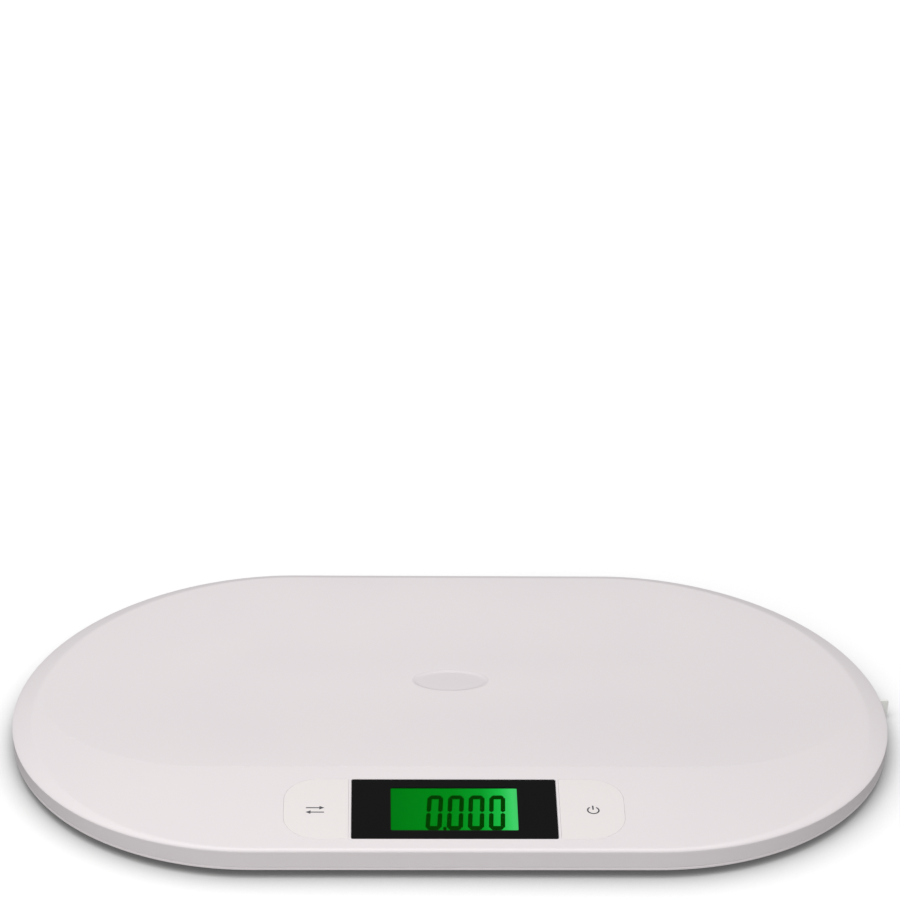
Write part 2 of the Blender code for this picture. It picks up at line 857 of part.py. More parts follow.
def top_shell():
    surface = top_surface()
    tree = BVHTree.FromBMesh(surface)
    shell = named("top_shell", surface, white_shell())
    walled(shell, SHELL_WALL)

    bosses = bmesh.new()
    for x, y in screw_places():
        top = surface_height(tree, x, y) - SHELL_WALL / 2
        add_disc(bosses, x, y, BOSS_RADIUS, boss_bottom, top, SMALL_TURN_STEPS)
    for x, y in stake_places():
        top = shell_under + JOIN
        head_high = board_under - GAP
        profile = [
            (0, top),
            (STAKE_BOSS_RADIUS, top),
            (STAKE_BOSS_RADIUS, board_top + GAP),
            (STAKE_RADIUS, board_top + GAP),
            (STAKE_RADIUS, head_high),
            (STAKE_HEAD_RADIUS, head_high),
            (STAKE_HEAD_RADIUS, head_high - STAKE_HEAD_HEIGHT),
            (0, head_high - STAKE_HEAD_HEIGHT),
        ]
        add_turned(bosses, x, y, profile, SMALL_TURN_STEPS)
    join(shell, "bosses", bosses)
    join_dish_ribs(shell)

    hollows = bmesh.new()
    half = WINDOW_WIDTH / 2 + GAP
    deep = WINDOW_DEPTH / 2 + GAP
    add_block(
        hollows,
        (-half, window_y - deep, window_floor),
        (half, window_y + deep, rim_z + OVERRUN),
    )
    place = Matrix.Translation((0, dish_middle_y - DIMPLE_BEFORE_MIDDLE, rim_z - DISH_DEPTH))
    place = place @ Matrix.Diagonal((DIMPLE_LENGTH, DIMPLE_WIDTH, 2 * DIMPLE_DEPTH, 1.0))
    bmesh.ops.create_cone(
        hollows, cap_ends=True, segments=TURN_STEPS, radius1=0.5, radius2=0.5, depth=1, matrix=place
    )
    slot_y = (TAPE_LINE_Y - WALL_SLOT_WIDTH / 2, TAPE_LINE_Y + WALL_SLOT_WIDTH / 2)
    add_block(
        hollows,
        (TRAY_LENGTH / 2 - SHELL_WALL - OVERRUN, slot_y[0], FLOOR_GAP - OVERRUN),
        (TRAY_LENGTH / 2 + OVERRUN, slot_y[1], tape_top + GAP),
    )
    for x, y in screw_places():
        deepest = head_top + SCREW_LENGTH + PILOT_SPARE
        add_disc(
            hollows,
            x,
            y,
            SCREW_RADIUS + PILOT_CLEARANCE,
            boss_bottom - OVERRUN,
            min(deepest, surface_height(tree, x, y) - SHELL_WALL),
            SMALL_TURN_STEPS,
        )
    cut(shell, "hollows", hollows)

    half = LCD_VIEW_WIDTH / 2 + VIEW_MARGIN
    deep = LCD_VIEW_DEPTH / 2 + VIEW_MARGIN
    opening = block(
        (-half, window_y - deep, shell_under - OVERRUN),
        (half, window_y + deep, window_floor + OVERRUN),
    )
    cut(shell, "display_opening", opening)
    for side, key in ((1, "tare"), (-1, "unit")):
        opening = prism_bm(key_outline(side, GAP), shell_under - OVERRUN, rim_z + OVERRUN)
        cut(shell, f"{key}_opening", opening)
    return shell


# Bottom cover


def cover_surface():
    outer = SHELL_WALL + GAP
    rings = [at_height(rim_outline(outer), FLOOR_GAP)]
    for step in range(RAMP_STEPS + 1):
        share = step / RAMP_STEPS
        fall = COVER_DROP * (3 * share**2 - 2 * share**3)
        rings.append(at_height(rim_outline(COVER_RIM + COVER_RAMP * share), FLOOR_GAP - fall))
    return loft(list(reversed(rings)), cap_first=True)


def cell_corner_posts(bm, x, y):
    """Four posts that stop a load cell from sliding off its seat."""
    for sx in (-1, 1):
        for sy in (-1, 1):
            inner_x = x + sx * (CELL_LENGTH / 2 + GAP)
            outer_x = inner_x + sx * POST_SIDE
            outer_y = y + sy * CELL_WIDTH / 2
            inner_y = outer_y - sy * POST_SIDE
            add_block(
                bm,
                (min(inner_x, outer_x), min(inner_y, outer_y), pan_top - JOIN),
                (max(inner_x, outer_x), max(inner_y, outer_y), pan_top + POST_HEIGHT),
            )


def ear_places():
    reach = case_outer + EAR_LENGTH / 2
    return [
        (reel_x + reach * math.cos(math.radians(a)), reel_y + reach * math.sin(math.radians(a)))
        for a in EAR_ANGLES_DEG
    ]


def bottom_cover():
    cover = named("bottom_cover", cover_surface(), white_cover())
    walled(cover, COVER_WALL)

    lumps = bmesh.new()
    for x, y in screw_places():
        radius = SCREW_HEAD_RADIUS + GAP + CUP_WALL
        add_disc(lumps, x, y, radius, pan_under + JOIN, cup_top, SMALL_TURN_STEPS)
    for x, y in foot_places().values():
        add_disc(lumps, x, y, FOOT_WINDOW_RADIUS + FOOT_SEAT_WALL, pan_under + JOIN, seat_top)
        cell_corner_posts(lumps, x, y)
    add_block(
        lumps,
        (bay_left - BAY_WALL, bay_front - BAY_WALL, pan_under + JOIN),
        (bay_right + BAY_WALL, bay_back + BAY_WALL, bay_ceiling + BAY_WALL),
    )
    add_disc(lumps, reel_x, reel_y, sleeve_outer, pan_under + JOIN, sleeve_top)
    for x, y in ear_places():
        add_disc(
            lumps, x, y, EAR_PIN_RADIUS, pan_under + JOIN, pan_top + EAR_PIN_HEIGHT, SMALL_TURN_STEPS
        )
    join(cover, "lumps", lumps)
    join_cover_ribs(cover)

    hollows = bmesh.new()
    for x, y in screw_places():
        add_disc(
            hollows,
            x,
            y,
            SCREW_HEAD_RADIUS + GAP,
            pan_under - OVERRUN,
            pan_under + CUP_RECESS,
            SMALL_TURN_STEPS,
        )
    for x, y in foot_places().values():
        add_disc(hollows, x, y, FOOT_WINDOW_RADIUS, pan_under - OVERRUN, seat_top + OVERRUN)
    add_block(
        hollows,
        (bay_left, bay_front, pan_under - OVERRUN),
        (bay_right, bay_back, bay_ceiling),
    )
    add_disc(
        hollows, reel_x, reel_y, BUTTON_RING_RADIUS, pan_under - OVERRUN, pan_under + BUTTON_RING_DEPTH
    )
    add_disc(hollows, reel_x, reel_y, SLEEVE_BORE, pan_top, sleeve_top + OVERRUN)
    add_block(
        hollows,
        (reel_x + case_outer, TAPE_LINE_Y - WALL_SLOT_WIDTH / 2, pan_under - OVERRUN),
        (TRAY_LENGTH / 2, TAPE_LINE_Y + WALL_SLOT_WIDTH / 2, FLOOR_GAP + COVER_WALL + OVERRUN),
    )
    cut(cover, "hollows", hollows)

    holes = bmesh.new()
    for x, y in screw_places():
        radius = SCREW_RADIUS + PILOT_CLEARANCE
        add_disc(holes, x, y, radius, pan_under, cup_top + OVERRUN, SMALL_TURN_STEPS)
    add_disc(holes, reel_x, reel_y, BUTTON_RADIUS + GAP, pan_under - OVERRUN, pan_top + JOIN)
    for x in tongue_places():
        half = TONGUE_WIDTH / 2 + GAP
        add_block(
            holes,
            (x - half, bay_back - OVERRUN, pan_top),
            (x + half, bay_back + BAY_WALL + OVERRUN, pan_top + TONGUE_SLOT_HEIGHT),
        )
    half = LATCH_WIDTH / 2 + GAP
    add_block(
        holes,
        (bay_x - half, bay_front - LATCH_REACH - GAP, pan_under - OVERRUN),
        (bay_x + half, bay_front + OVERRUN, pan_top + GAP),
    )
    cut(cover, "holes", holes)
    return cover


# Console


def display_window():
    top = rim_z - WINDOW_RECESS
    bm = plate(
        (-WINDOW_WIDTH / 2, window_y - WINDOW_DEPTH / 2, top - WINDOW_THICKNESS),
        (WINDOW_WIDTH / 2, window_y + WINDOW_DEPTH / 2, top),
        WINDOW_CORNER,
    )
    named("display_window", bm, window_black())


def display_stack():
    half, deep = glass_width / 2, glass_depth / 2
    glass = block((-half, window_y - deep, lcd_bottom), (half, window_y + deep, lcd_top))
    named("lcd_glass", glass, lcd_green())
    guide = block((-half, window_y - deep, backlight_bottom), (half, window_y + deep, backlight_top))
    named("backlight_panel", guide, clear_guide())

    half, deep = half + GAP, deep + GAP
    outer, outer_deep = half + HOLDER_WALL, deep + HOLDER_WALL
    holder_top = lcd_top - GAP
    frame = block(
        (-outer, window_y - outer_deep, board_top + GAP),
        (outer, window_y + outer_deep, holder_top),
    )
    holder = named("lcd_holder", frame, foot_plastic())
    inside = block(
        (-half, window_y - deep, board_top + GAP - OVERRUN),
        (half, window_y + deep, holder_top + OVERRUN),
    )
    cut(holder, "display_seat", inside)


def key(name, side):
    flange = prism_bm(key_outline(side, KEY_FLANGE_LIP), key_flange_bottom, key_flange_top)
    cap = named(f"{name}_key", flange, key_white())
    join(cap, "face", prism_bm(key_outline(side, 0), key_flange_top - JOIN, rim_z + KEY_PROUD))
    boss = disc(
        side * key_x,
        window_y,
        KEY_BOSS_RADIUS,
        stem_top + GAP,
        key_flange_bottom + JOIN,
        SMALL_TURN_STEPS,
    )
    join(cap, "boss", boss)
    turn_about(cap, side * key_x, window_y, rim_z)

    half = SWITCH_SIDE / 2
    body = named(
        f"{name}_switch",
        block(
            (side * key_x - half, window_y - half, switch_bottom),
            (side * key_x + half, window_y + half, switch_top),
        ),
        chip_black(),
    )
    well = disc(
        side * key_x,
        window_y,
        SWITCH_STEM_RADIUS + GAP,
        switch_top - SWITCH_STEM_IN - KEY_TRAVEL - GAP,
        switch_top + OVERRUN,
        SMALL_TURN_STEPS,
    )
    cut(body, "stem_well", well)
    stem = disc(
        side * key_x, window_y, SWITCH_STEM_RADIUS, switch_top - SWITCH_STEM_IN, stem_top, SMALL_TURN_STEPS
    )
    stem = named(f"{name}_switch_stem", stem, foot_plastic())
    turn_about(stem, side * key_x, window_y, rim_z)


def main_board():
    low, high = (-board_half, board_front, board_under), (board_half, board_back, board_top)
    board = named("main_board", plate(low, high, BOARD_CORNER), board_green())
    holes = bmesh.new()
    for x, y in stake_places():
        add_disc(
            holes,
            x,
            y,
            STAKE_RADIUS + GAP,
            board_under - OVERRUN,
            board_top + OVERRUN,
            SMALL_TURN_STEPS,
        )
    cut(board, "stake_holes", holes)


def chips():
    x = glass_width / 2 + HOLDER_WALL + CHIP_BESIDE_HOLDER
    low = board_top + GAP
    half = CONTROLLER_SIDE / 2
    chip = block(
        (-x - CONTROLLER_SIDE, window_y - half, low),
        (-x, window_y + half, low + CONTROLLER_HEIGHT),
    )
    named("controller_chip", chip, chip_black())
    half = CONVERTER_LENGTH / 2
    chip = block(
        (x, window_y - half, low),
        (x + CONVERTER_WIDTH, window_y + half, low + CONVERTER_HEIGHT),
    )
    named("converter_chip", chip, chip_black())


# Feet


def load_cell_piece():
    half, deep = CELL_LENGTH / 2, CELL_WIDTH / 2
    cell = named(
        "load_cell_front_right",
        block((-half, -deep, cell_bottom), (half, deep, cell_top)),
        cell_steel(),
    )
    half, deep = CELL_OPENING_LENGTH / 2, CELL_OPENING_WIDTH / 2
    opening = block((-half, -deep, cell_bottom - OVERRUN), (half, deep, cell_top + OVERRUN))
    cut(cell, "opening", opening)
    half_tongue = CELL_TONGUE_WIDTH / 2
    tongue = block(
        (-half - JOIN, -half_tongue, cell_bottom),
        (CELL_TONGUE_WIDTH / 2, half_tongue, cell_top),
    )
    join(cell, "tongue", tongue)
    gauge = block(
        (-half, -GAUGE_WIDTH / 2, cell_top - JOIN),
        (GAUGE_LENGTH - half, GAUGE_WIDTH / 2, cell_top + GAUGE_HEIGHT),
    )
    join(cell, "gauge", gauge)
    return baked(cell)


def feet():
    cell = load_cell_piece()
    recess_z = FOOT_RIM_Z + FOOT_RECESS
    disc_top = recess_z + FOOT_DISC_THICKNESS - FOOT_RECESS
    cap_profile = [
        (0, cell_bottom - GAP),
        (FOOT_HUB_RADIUS, cell_bottom - GAP),
        (FOOT_HUB_RADIUS, disc_top),
        (FOOT_RADIUS, disc_top),
        (FOOT_RADIUS, FOOT_RIM_Z),
        (FOOT_RADIUS - FOOT_RIM, FOOT_RIM_Z),
        (FOOT_RADIUS - FOOT_RIM, recess_z),
        (0, recess_z),
    ]
    cap = baked(turned("foot_cap_front_right", 0, 0, cap_profile, foot_plastic()))
    pad = named("foot_pad_front_right", disc(0, 0, PAD_RADIUS, 0, recess_z - GAP), pad_rubber())
    for place, (x, y) in foot_places().items():
        turn = math.pi if x < 0 else 0.0
        for source, kind in ((cell, "load_cell"), (cap, "foot_cap"), (pad, "foot_pad")):
            if place == "front_right":
                source.location = (x, y, 0)
            else:
                copy_at(f"{kind}_{place}", source, x, y, turn)


def cover_screws():
    head_bottom = head_top - SCREW_HEAD_HEIGHT
    profile = [
        (0, head_top + SCREW_LENGTH),
        (SCREW_RADIUS, head_top + SCREW_LENGTH),
        (SCREW_RADIUS, head_top),
        (SCREW_HEAD_RADIUS, head_top),
        (SCREW_HEAD_RADIUS, head_bottom),
        (0, head_bottom),
    ]
    first = baked(turned("cover_screw_1", 0, 0, profile, spring_steel(), SMALL_TURN_STEPS))
    for number, (x, y) in enumerate(screw_places(), 1):
        if number == 1:
            first.location = (x, y, 0)
        else:
            copy_at(f"cover_screw_{number}", first, x, y)


# Batteries


def battery_rows():
    """The two cells' middles, with the side that each one's button faces."""
    return (("front", bay_y - BAY_PITCH / 2, 1), ("back", bay_y + BAY_PITCH / 2, -1))


def batteries():
    body = CELL_AAA_LENGTH - CELL_AAA_NUB
    profile = [
        (0, CELL_AAA_LENGTH / 2),
        (CELL_AAA_NUB_RADIUS, CELL_AAA_LENGTH / 2),
        (CELL_AAA_NUB_RADIUS, body - CELL_AAA_LENGTH / 2),
        (CELL_AAA_RADIUS, body - CELL_AAA_LENGTH / 2),
        (CELL_AAA_RADIUS, -CELL_AAA_LENGTH / 2),
        (0, -CELL_AAA_LENGTH / 2),
    ]
    for row, y, faces in battery_rows():
        battery = turned(f"battery_cell_{row}", 0, 0, profile, battery_skin(), SMALL_TURN_STEPS)
        battery.location = (bay_x, y, battery_z)
        battery.rotation_euler = (0, faces * math.pi / 2, 0)


def contact_spring(x, y, towards):
    """Points of a coil about X, from a plate to a cell's flat end."""
    count = CONTACT_SPRING_TURNS * WIRE_STEPS_PER_TURN
    start = x - towards * CONTACT_THICKNESS / 2
    return [
        (
            start + towards * (contact_spring_length + CONTACT_THICKNESS / 2) * i / count,
            y + CONTACT_SPRING_RADIUS * math.cos(math.tau * CONTACT_SPRING_TURNS * i / count),
            battery_z + CONTACT_SPRING_RADIUS * math.sin(math.tau * CONTACT_SPRING_TURNS * i / count),
        )
        for i in range(count + 1)
    ]


def add_contact_spring(plate, x, y, towards):
    points = contact_spring(x, y, towards)
    wire = mesh_of_curve(tube_curve("wire", points, CONTACT_WIRE_RADIUS), Matrix.Identity(4))
    join(plate, "spring", wire)


def add_contact_bump(plate, x, y, towards):
    ends = (x - towards * CONTACT_THICKNESS / 2, x + towards * contact_spring_length)
    half = CONTACT_BUMP_WIDTH / 2
    bump = block((min(ends), y - half, battery_z - half), (max(ends), y + half, battery_z + half))
    join(plate, "bump", bump)


def contact_plate(name, x, y_low, y_high):
    low_z = battery_z - CONTACT_HEIGHT / 2
    return named(
        name,
        block(
            (x - CONTACT_THICKNESS / 2, y_low, low_z),
            (x + CONTACT_THICKNESS / 2, y_high, low_z + CONTACT_HEIGHT),
        ),
        spring_steel(),
    )


def contacts():
    (_, front_y, _), (_, back_y, _) = battery_rows()
    half = CONTACT_WIDTH / 2
    left_x = bay_left + GAP + CONTACT_THICKNESS / 2
    right_x = bay_right - GAP - CONTACT_THICKNESS / 2
    inner = CONTACT_THICKNESS / 2
    bridge = contact_plate("battery_bridge", left_x, front_y - half, back_y + half)
    add_contact_spring(bridge, left_x + inner, front_y, 1)
    add_contact_bump(bridge, left_x + inner, back_y, 1)
    plus = contact_plate("battery_plus_contact", right_x, front_y - half, front_y + half)
    add_contact_bump(plus, right_x - inner, front_y, -1)
    minus = contact_plate("battery_minus_contact", right_x, back_y - half, back_y + half)
    add_contact_spring(minus, right_x - inner, back_y, -1)


def tongue_places():
    reach = bay_length * TONGUE_SPREAD_SHARE
    return (bay_x - reach, bay_x + reach)


def battery_door():
    door_top = pan_under + DOOR_THICKNESS
    door = named(
        "battery_door",
        block(
            (bay_left + GAP, bay_front + GAP, pan_under),
            (bay_right - GAP, bay_back - GAP, door_top),
        ),
        white_cover(),
    )
    roots = bmesh.new()
    tongue_bottom = pan_top + GAP
    tongue_top = tongue_bottom + TONGUE_THICKNESS
    for x in tongue_places():
        half = TONGUE_WIDTH / 2
        add_block(
            roots,
            (x - half, bay_back - GAP - TONGUE_ROOT, door_top - JOIN),
            (x + half, bay_back - GAP, tongue_top),
        )
    half = LATCH_WIDTH / 2
    add_block(
        roots,
        (bay_x - half, bay_front - LATCH_REACH, pan_under),
        (bay_x + half, bay_front + GAP + JOIN, door_top),
    )
    join(door, "roots", roots)
    tongues = bmesh.new()
    for x in tongue_places():
        half = TONGUE_WIDTH / 2
        add_block(
            tongues,
            (x - half, bay_back - GAP - JOIN, tongue_bottom),
            (x + half, bay_back + TONGUE_REACH, tongue_top),
        )
    join(door, "tongues", tongues)
    turn_about(door, bay_x, bay_back, pan_under)


# Measuring tape


def tape_case():
    profile = [
        (0, case_top),
        (case_outer, case_top),
        (case_outer, pan_top + GAP),
        (case_inner, pan_top + GAP),
        (case_inner, roof_under),
        (0, roof_under),
    ]
    case = turned("tape_case", reel_x, reel_y, profile, drum_plastic())
    ears = bmesh.new()
    for (x, y), angle in zip(ear_places(), EAR_ANGLES_DEG):
        turn = Matrix.Rotation(math.radians(angle), 4, "Z")
        size = Matrix.Diagonal((EAR_LENGTH + CASE_WALL, EAR_WIDTH, EAR_THICKNESS, 1.0))
        middle = Matrix.Translation(
            (x - reel_x, y - reel_y, pan_top + GAP + EAR_THICKNESS / 2)
        )
        bmesh.ops.create_cube(ears, size=1.0, matrix=middle @ turn @ size)
    join(case, "ears", ears)
    bpy.data.objects["tape_case_ears"].location = (reel_x, reel_y, 0)
    holes = bmesh.new()
    for x, y in ear_places():
        add_disc(
            holes,
            x,
            y,
            EAR_PIN_RADIUS + GAP,
            pan_top - OVERRUN,
            pan_top + GAP + EAR_THICKNESS + OVERRUN,
            SMALL_TURN_STEPS,
        )
    add_block(
        holes,
        (reel_x, TAPE_LINE_Y - CASE_SLOT / 2, pan_top - OVERRUN),
        (reel_x + case_outer, TAPE_LINE_Y + CASE_SLOT / 2, tape_top + GAP),
    )
    cut(case, "holes", holes)


def tape_reel():
    profile = [
        (drum_inner, drum_top),
        (flange_radius, drum_top),
        (flange_radius, tape_top + GAP),
        (DRUM_OUTER, tape_top + GAP),
        (DRUM_OUTER, drum_bottom + DRUM_FLANGE),
        (flange_radius, drum_bottom + DRUM_FLANGE),
        (flange_radius, drum_bottom),
        (drum_inner, drum_bottom),
        (drum_inner, web_bottom),
        (sleeve_outer + GAP, web_bottom),
        (sleeve_outer + GAP, web_top),
        (drum_inner, web_top),
    ]
    turned("tape_drum", reel_x, reel_y, profile, drum_plastic())
    pack = [
        (PACK_RADIUS, tape_top),
        (PACK_RADIUS, tape_bottom),
        (DRUM_OUTER + GAP, tape_bottom),
        (DRUM_OUTER + GAP, tape_top),
    ]
    turned("tape_pack", reel_x, reel_y, pack, tape_white())


def tape_return_spring():
    """A flat spiral band between the cover's sleeve and the drum's wall."""
    inner = sleeve_outer + GAP + RETURN_SPRING_THICKNESS
    outer = drum_inner - GAP - RETURN_SPRING_THICKNESS
    count = int(RETURN_SPRING_TURNS * TURN_STEPS / 2)
    bm = bmesh.new()
    low = drum_bottom + GAP
    verts = []
    for i in range(count + 1):
        angle = math.tau * RETURN_SPRING_TURNS * i / count
        radius = inner + (outer - inner) * i / count
        verts.append(bm.verts.new((radius * math.cos(angle), radius * math.sin(angle), low)))
    edges = [bm.edges.new(pair) for pair in zip(verts, verts[1:])]
    raised = bmesh.ops.extrude_edge_only(bm, edges=edges)["geom"]
    raised = [item for item in raised if isinstance(item, bmesh.types.BMVert)]
    bmesh.ops.translate(bm, vec=(0, 0, web_bottom - GAP - low), verts=raised)
    spring = named("tape_return_spring", bm, spring_steel())
    spring.location = (reel_x, reel_y, 0)
    band = spring.modifiers.new("band", "SOLIDIFY")
    band.thickness = RETURN_SPRING_THICKNESS
    band.offset = 0


def tape_button():
    bore = BUTTON_RADIUS + BUTTON_FLANGE_LIP
    profile = [
        (0, brake_top + BRAKE_HUB_HEIGHT),
        (BUTTON_STEM_RADIUS, brake_top + BRAKE_HUB_HEIGHT),
        (BUTTON_STEM_RADIUS, button_flange_top),
        (bore, button_flange_top),
        (bore, button_flange_bottom),
        (BUTTON_RADIUS, button_flange_bottom),
        (BUTTON_RADIUS, button_bottom + BUTTON_DOME),
        (BUTTON_RADIUS - BUTTON_DOME, button_bottom + BUTTON_DOME / 4),
        (0, button_bottom),
    ]
    turned("tape_button", reel_x, reel_y, profile, key_white())
    hub = [
        (BRAKE_HUB_RADIUS, brake_top + BRAKE_HUB_HEIGHT),
        (BRAKE_HUB_RADIUS, brake_top),
        (BRAKE_RADIUS, brake_top),
        (BRAKE_RADIUS, brake_bottom),
        (BUTTON_STEM_RADIUS + GAP, brake_bottom),
        (BUTTON_STEM_RADIUS + GAP, brake_top + BRAKE_HUB_HEIGHT),
    ]
    turned("tape_brake", reel_x, reel_y, hub, chip_black())
    wire = BRAKE_SPRING_WIRE
    points = coil(
        reel_x,
        reel_y,
        BRAKE_SPRING_RADIUS,
        brake_top + GAP + wire,
        roof_under - GAP - wire,
        BRAKE_SPRING_TURNS,
    )
    curve = tube_curve("tape_button_spring", points, wire)
    curve.materials.append(spring_steel())
    link(bpy.data.objects.new("tape_button_spring", curve))


def tape_end():
    half = TAPE_THICKNESS / 2
    neck_left = tab_left - TAB_NECK_LENGTH
    strip = block(
        (reel_x, TAPE_LINE_Y - half, tape_bottom),
        (neck_left - GAP, TAPE_LINE_Y + half, tape_top),
    )
    strip = named("tape_strip", strip, tape_white())
    middle = (tape_bottom + tape_top) / 2
    turn_about(strip, neck_left, TAPE_LINE_Y, middle)
    half = TAB_THICKNESS / 2
    bm = block(
        (tab_left, TAPE_LINE_Y - half, middle - TAB_HEIGHT / 2),
        (tab_right, TAPE_LINE_Y + half, middle + TAB_HEIGHT / 2),
    )
    across = [e for e in bm.edges if abs(e.verts[0].co.y - e.verts[1].co.y) > half]
    bmesh.ops.bevel(bm, geom=across, offset=TAB_CORNER, segments=3, profile=0.5, affect="EDGES")
    tab = named("tape_end_tab", bm, tape_white())
    half = TAB_NECK_THICKNESS / 2
    neck = block(
        (neck_left, TAPE_LINE_Y - half, tape_bottom),
        (tab_left + JOIN, TAPE_LINE_Y + half, tape_top),
    )
    join(tab, "neck", neck)
    turn_about(tab, neck_left, TAPE_LINE_Y, middle)


# Leads


def lead(name, knots):
    curve = tube_curve(name, smooth_route(knots), LEAD_RADIUS)
    curve.materials.append(lead_grey())
    link(bpy.data.objects.new(name, curve))


def leads():
    floor_z = pan_top + LEAD_LIFT
    board_z = board_under - GAP
    for place, (x, y) in foot_places().items():
        side = math.copysign(1, x)
        start = foot_x - CELL_LENGTH / 2 - GAP - POST_SIDE - LEAD_AT_CELL
        behind = board_back + LEAD_BEHIND_BOARD
        under = board_back - LEAD_UNDER_BOARD
        to_x = board_half - (LEAD_BACK_INSET if y > 0 else LEAD_FRONT_INSET)
        turn_x = start + (to_x - start) * LEAD_TURN_SHARE
        if y > 0:
            middle = [(side * turn_x, y - LEAD_SWEEP, floor_z)]
            middle += [(side * (to_x + LEAD_SWEEP / 2), dish_front / 2, floor_z)]
        else:
            middle = [(side * turn_x, behind, floor_z)]
        knots = [(side * start, y, floor_z), *middle]
        knots += [
            (side * to_x, behind, floor_z),
            (side * to_x, under, board_z - LEAD_RISE),
            (side * to_x, under, board_z),
        ]
        lead(f"load_cell_lead_{place}", knots)
    start = bay_right + BAY_WALL + GAP + LEAD_RADIUS
    end = -board_half + BOARD_STAKE_END
    beside_stake = board_back - BOARD_STAKE_SIDE - STAKE_BOSS_RADIUS - LEAD_BESIDE_STAKE
    low = board_top + GAP
    knots = [
        (start, beside_stake, floor_z),
        (start, beside_stake, low + LEAD_LIFT),
        ((start + end) / 2, beside_stake, low + LEAD_RISE + LEAD_LIFT),
        (end, beside_stake, low + LEAD_LIFT),
        (end, beside_stake, low),
    ]
    lead("battery_lead", knots)


def build():
    start_scene()
    top_shell()
    bottom_cover()
    display_window()
    display_stack()
    key("tare", 1)
    key("unit", -1)
    main_board()
    chips()
    feet()
    cover_screws()
    batteries()
    contacts()
    battery_door()
    tape_case()
    tape_reel()
    tape_return_spring()
    tape_button()
    tape_end()
    leads()


build()
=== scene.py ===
# %% [markdown]
# # A digital baby weighing scale, dressed for the camera
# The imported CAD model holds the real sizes, the joints and every inner piece. This notebook
# loads it as a fixed frame and makes the surfaces that people see: the moulded dish shell, the
# cover below it, the keys and display, the feet, the screws, the battery door and the tape.
# Each new piece stands for one CAD piece and moves with the body that the piece belongs to.

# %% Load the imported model
import math
from contextlib import contextmanager

import bmesh
import bpy
from mathutils import Matrix, Vector


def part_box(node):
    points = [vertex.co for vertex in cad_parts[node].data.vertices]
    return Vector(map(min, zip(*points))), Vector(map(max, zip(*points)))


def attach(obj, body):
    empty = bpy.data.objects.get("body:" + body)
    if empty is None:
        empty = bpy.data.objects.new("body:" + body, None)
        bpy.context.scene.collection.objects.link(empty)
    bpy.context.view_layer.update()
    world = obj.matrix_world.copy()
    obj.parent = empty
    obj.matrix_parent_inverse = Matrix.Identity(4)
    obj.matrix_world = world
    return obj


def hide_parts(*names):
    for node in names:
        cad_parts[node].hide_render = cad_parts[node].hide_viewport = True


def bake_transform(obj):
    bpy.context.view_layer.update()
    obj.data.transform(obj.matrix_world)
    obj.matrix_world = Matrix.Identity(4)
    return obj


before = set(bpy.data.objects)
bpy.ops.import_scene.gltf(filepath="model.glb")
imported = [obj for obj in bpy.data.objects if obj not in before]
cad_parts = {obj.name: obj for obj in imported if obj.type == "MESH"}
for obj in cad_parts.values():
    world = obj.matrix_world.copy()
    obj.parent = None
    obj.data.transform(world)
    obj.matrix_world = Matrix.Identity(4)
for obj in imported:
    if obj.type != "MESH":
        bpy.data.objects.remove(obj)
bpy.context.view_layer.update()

# %% [markdown]
# ## The camera
# The photograph is a studio shot from in front and above. The camera's distance, height, turn
# and focal length were solved from the tray's outline, whose real size is known. It stands
# about 1.1 m from the tray's middle and looks a little above it, because the object fills the
# lower part of the frame. That is a tilt of the camera, as on a real tripod, and no lens shift.

# %% Place the camera
FRAME_PIXELS = 900
FOCAL_PIXELS = 1713.1
SENSOR_WIDTH = 36.0
CAMERA_DISTANCE = 1.1025
CAMERA_ELEVATION = math.radians(31.75)
CAMERA_TURN = math.radians(-1.255)
CAMERA_ROLL = math.radians(0.783)
MIDDLE_SEEN_AT = (454.4, 693.0)
rim_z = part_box("top_shell")[1].z

reach = CAMERA_DISTANCE * math.cos(CAMERA_ELEVATION)
from_rim = Vector((
    reach * math.sin(CAMERA_TURN),
    -reach * math.cos(CAMERA_TURN),
    CAMERA_DISTANCE * math.sin(CAMERA_ELEVATION),
))
tilt = math.atan((MIDDLE_SEEN_AT[1] - FRAME_PIXELS / 2) / FOCAL_PIXELS)
pan = math.atan((MIDDLE_SEEN_AT[0] - FRAME_PIXELS / 2) / FOCAL_PIXELS)

lens = bpy.data.cameras.new("studio_camera")
lens.sensor_width = SENSOR_WIDTH
lens.lens = SENSOR_WIDTH * FOCAL_PIXELS / FRAME_PIXELS
camera = bpy.data.objects.new("studio_camera", lens)
bpy.context.scene.collection.objects.link(camera)
camera.matrix_world = (
    Matrix.Translation(from_rim + Vector((0, 0, rim_z)))
    @ (-from_rim).to_track_quat("-Z", "Y").to_matrix().to_4x4()
    @ Matrix.Rotation(tilt, 4, "X")
    @ Matrix.Rotation(pan, 4, "Y")
    @ Matrix.Rotation(CAMERA_ROLL, 4, "Z")
)
bpy.context.scene.camera = camera
print("lens", round(lens.lens, 2), "mm, camera at", [round(v, 4) for v in camera.location])

# %% [markdown]
# ## Helpers for working as by hand
# An operator acts on whatever is selected, so each helper first selects only its own piece.
# `pick` chooses vertices, edges or faces in edit mode by a test on their place, which is what
# a hand does with a click. `block` and `disc` are primitives put at their real size and place.

# %% Select, edit and apply
def activate(obj):
    bpy.ops.object.select_all(action="DESELECT")
    obj.select_set(True)
    bpy.context.view_layer.objects.active = obj


@contextmanager
def editing(obj):
    activate(obj)
    bpy.ops.object.mode_set(mode="EDIT")
    yield
    bpy.ops.object.mode_set(mode="OBJECT")


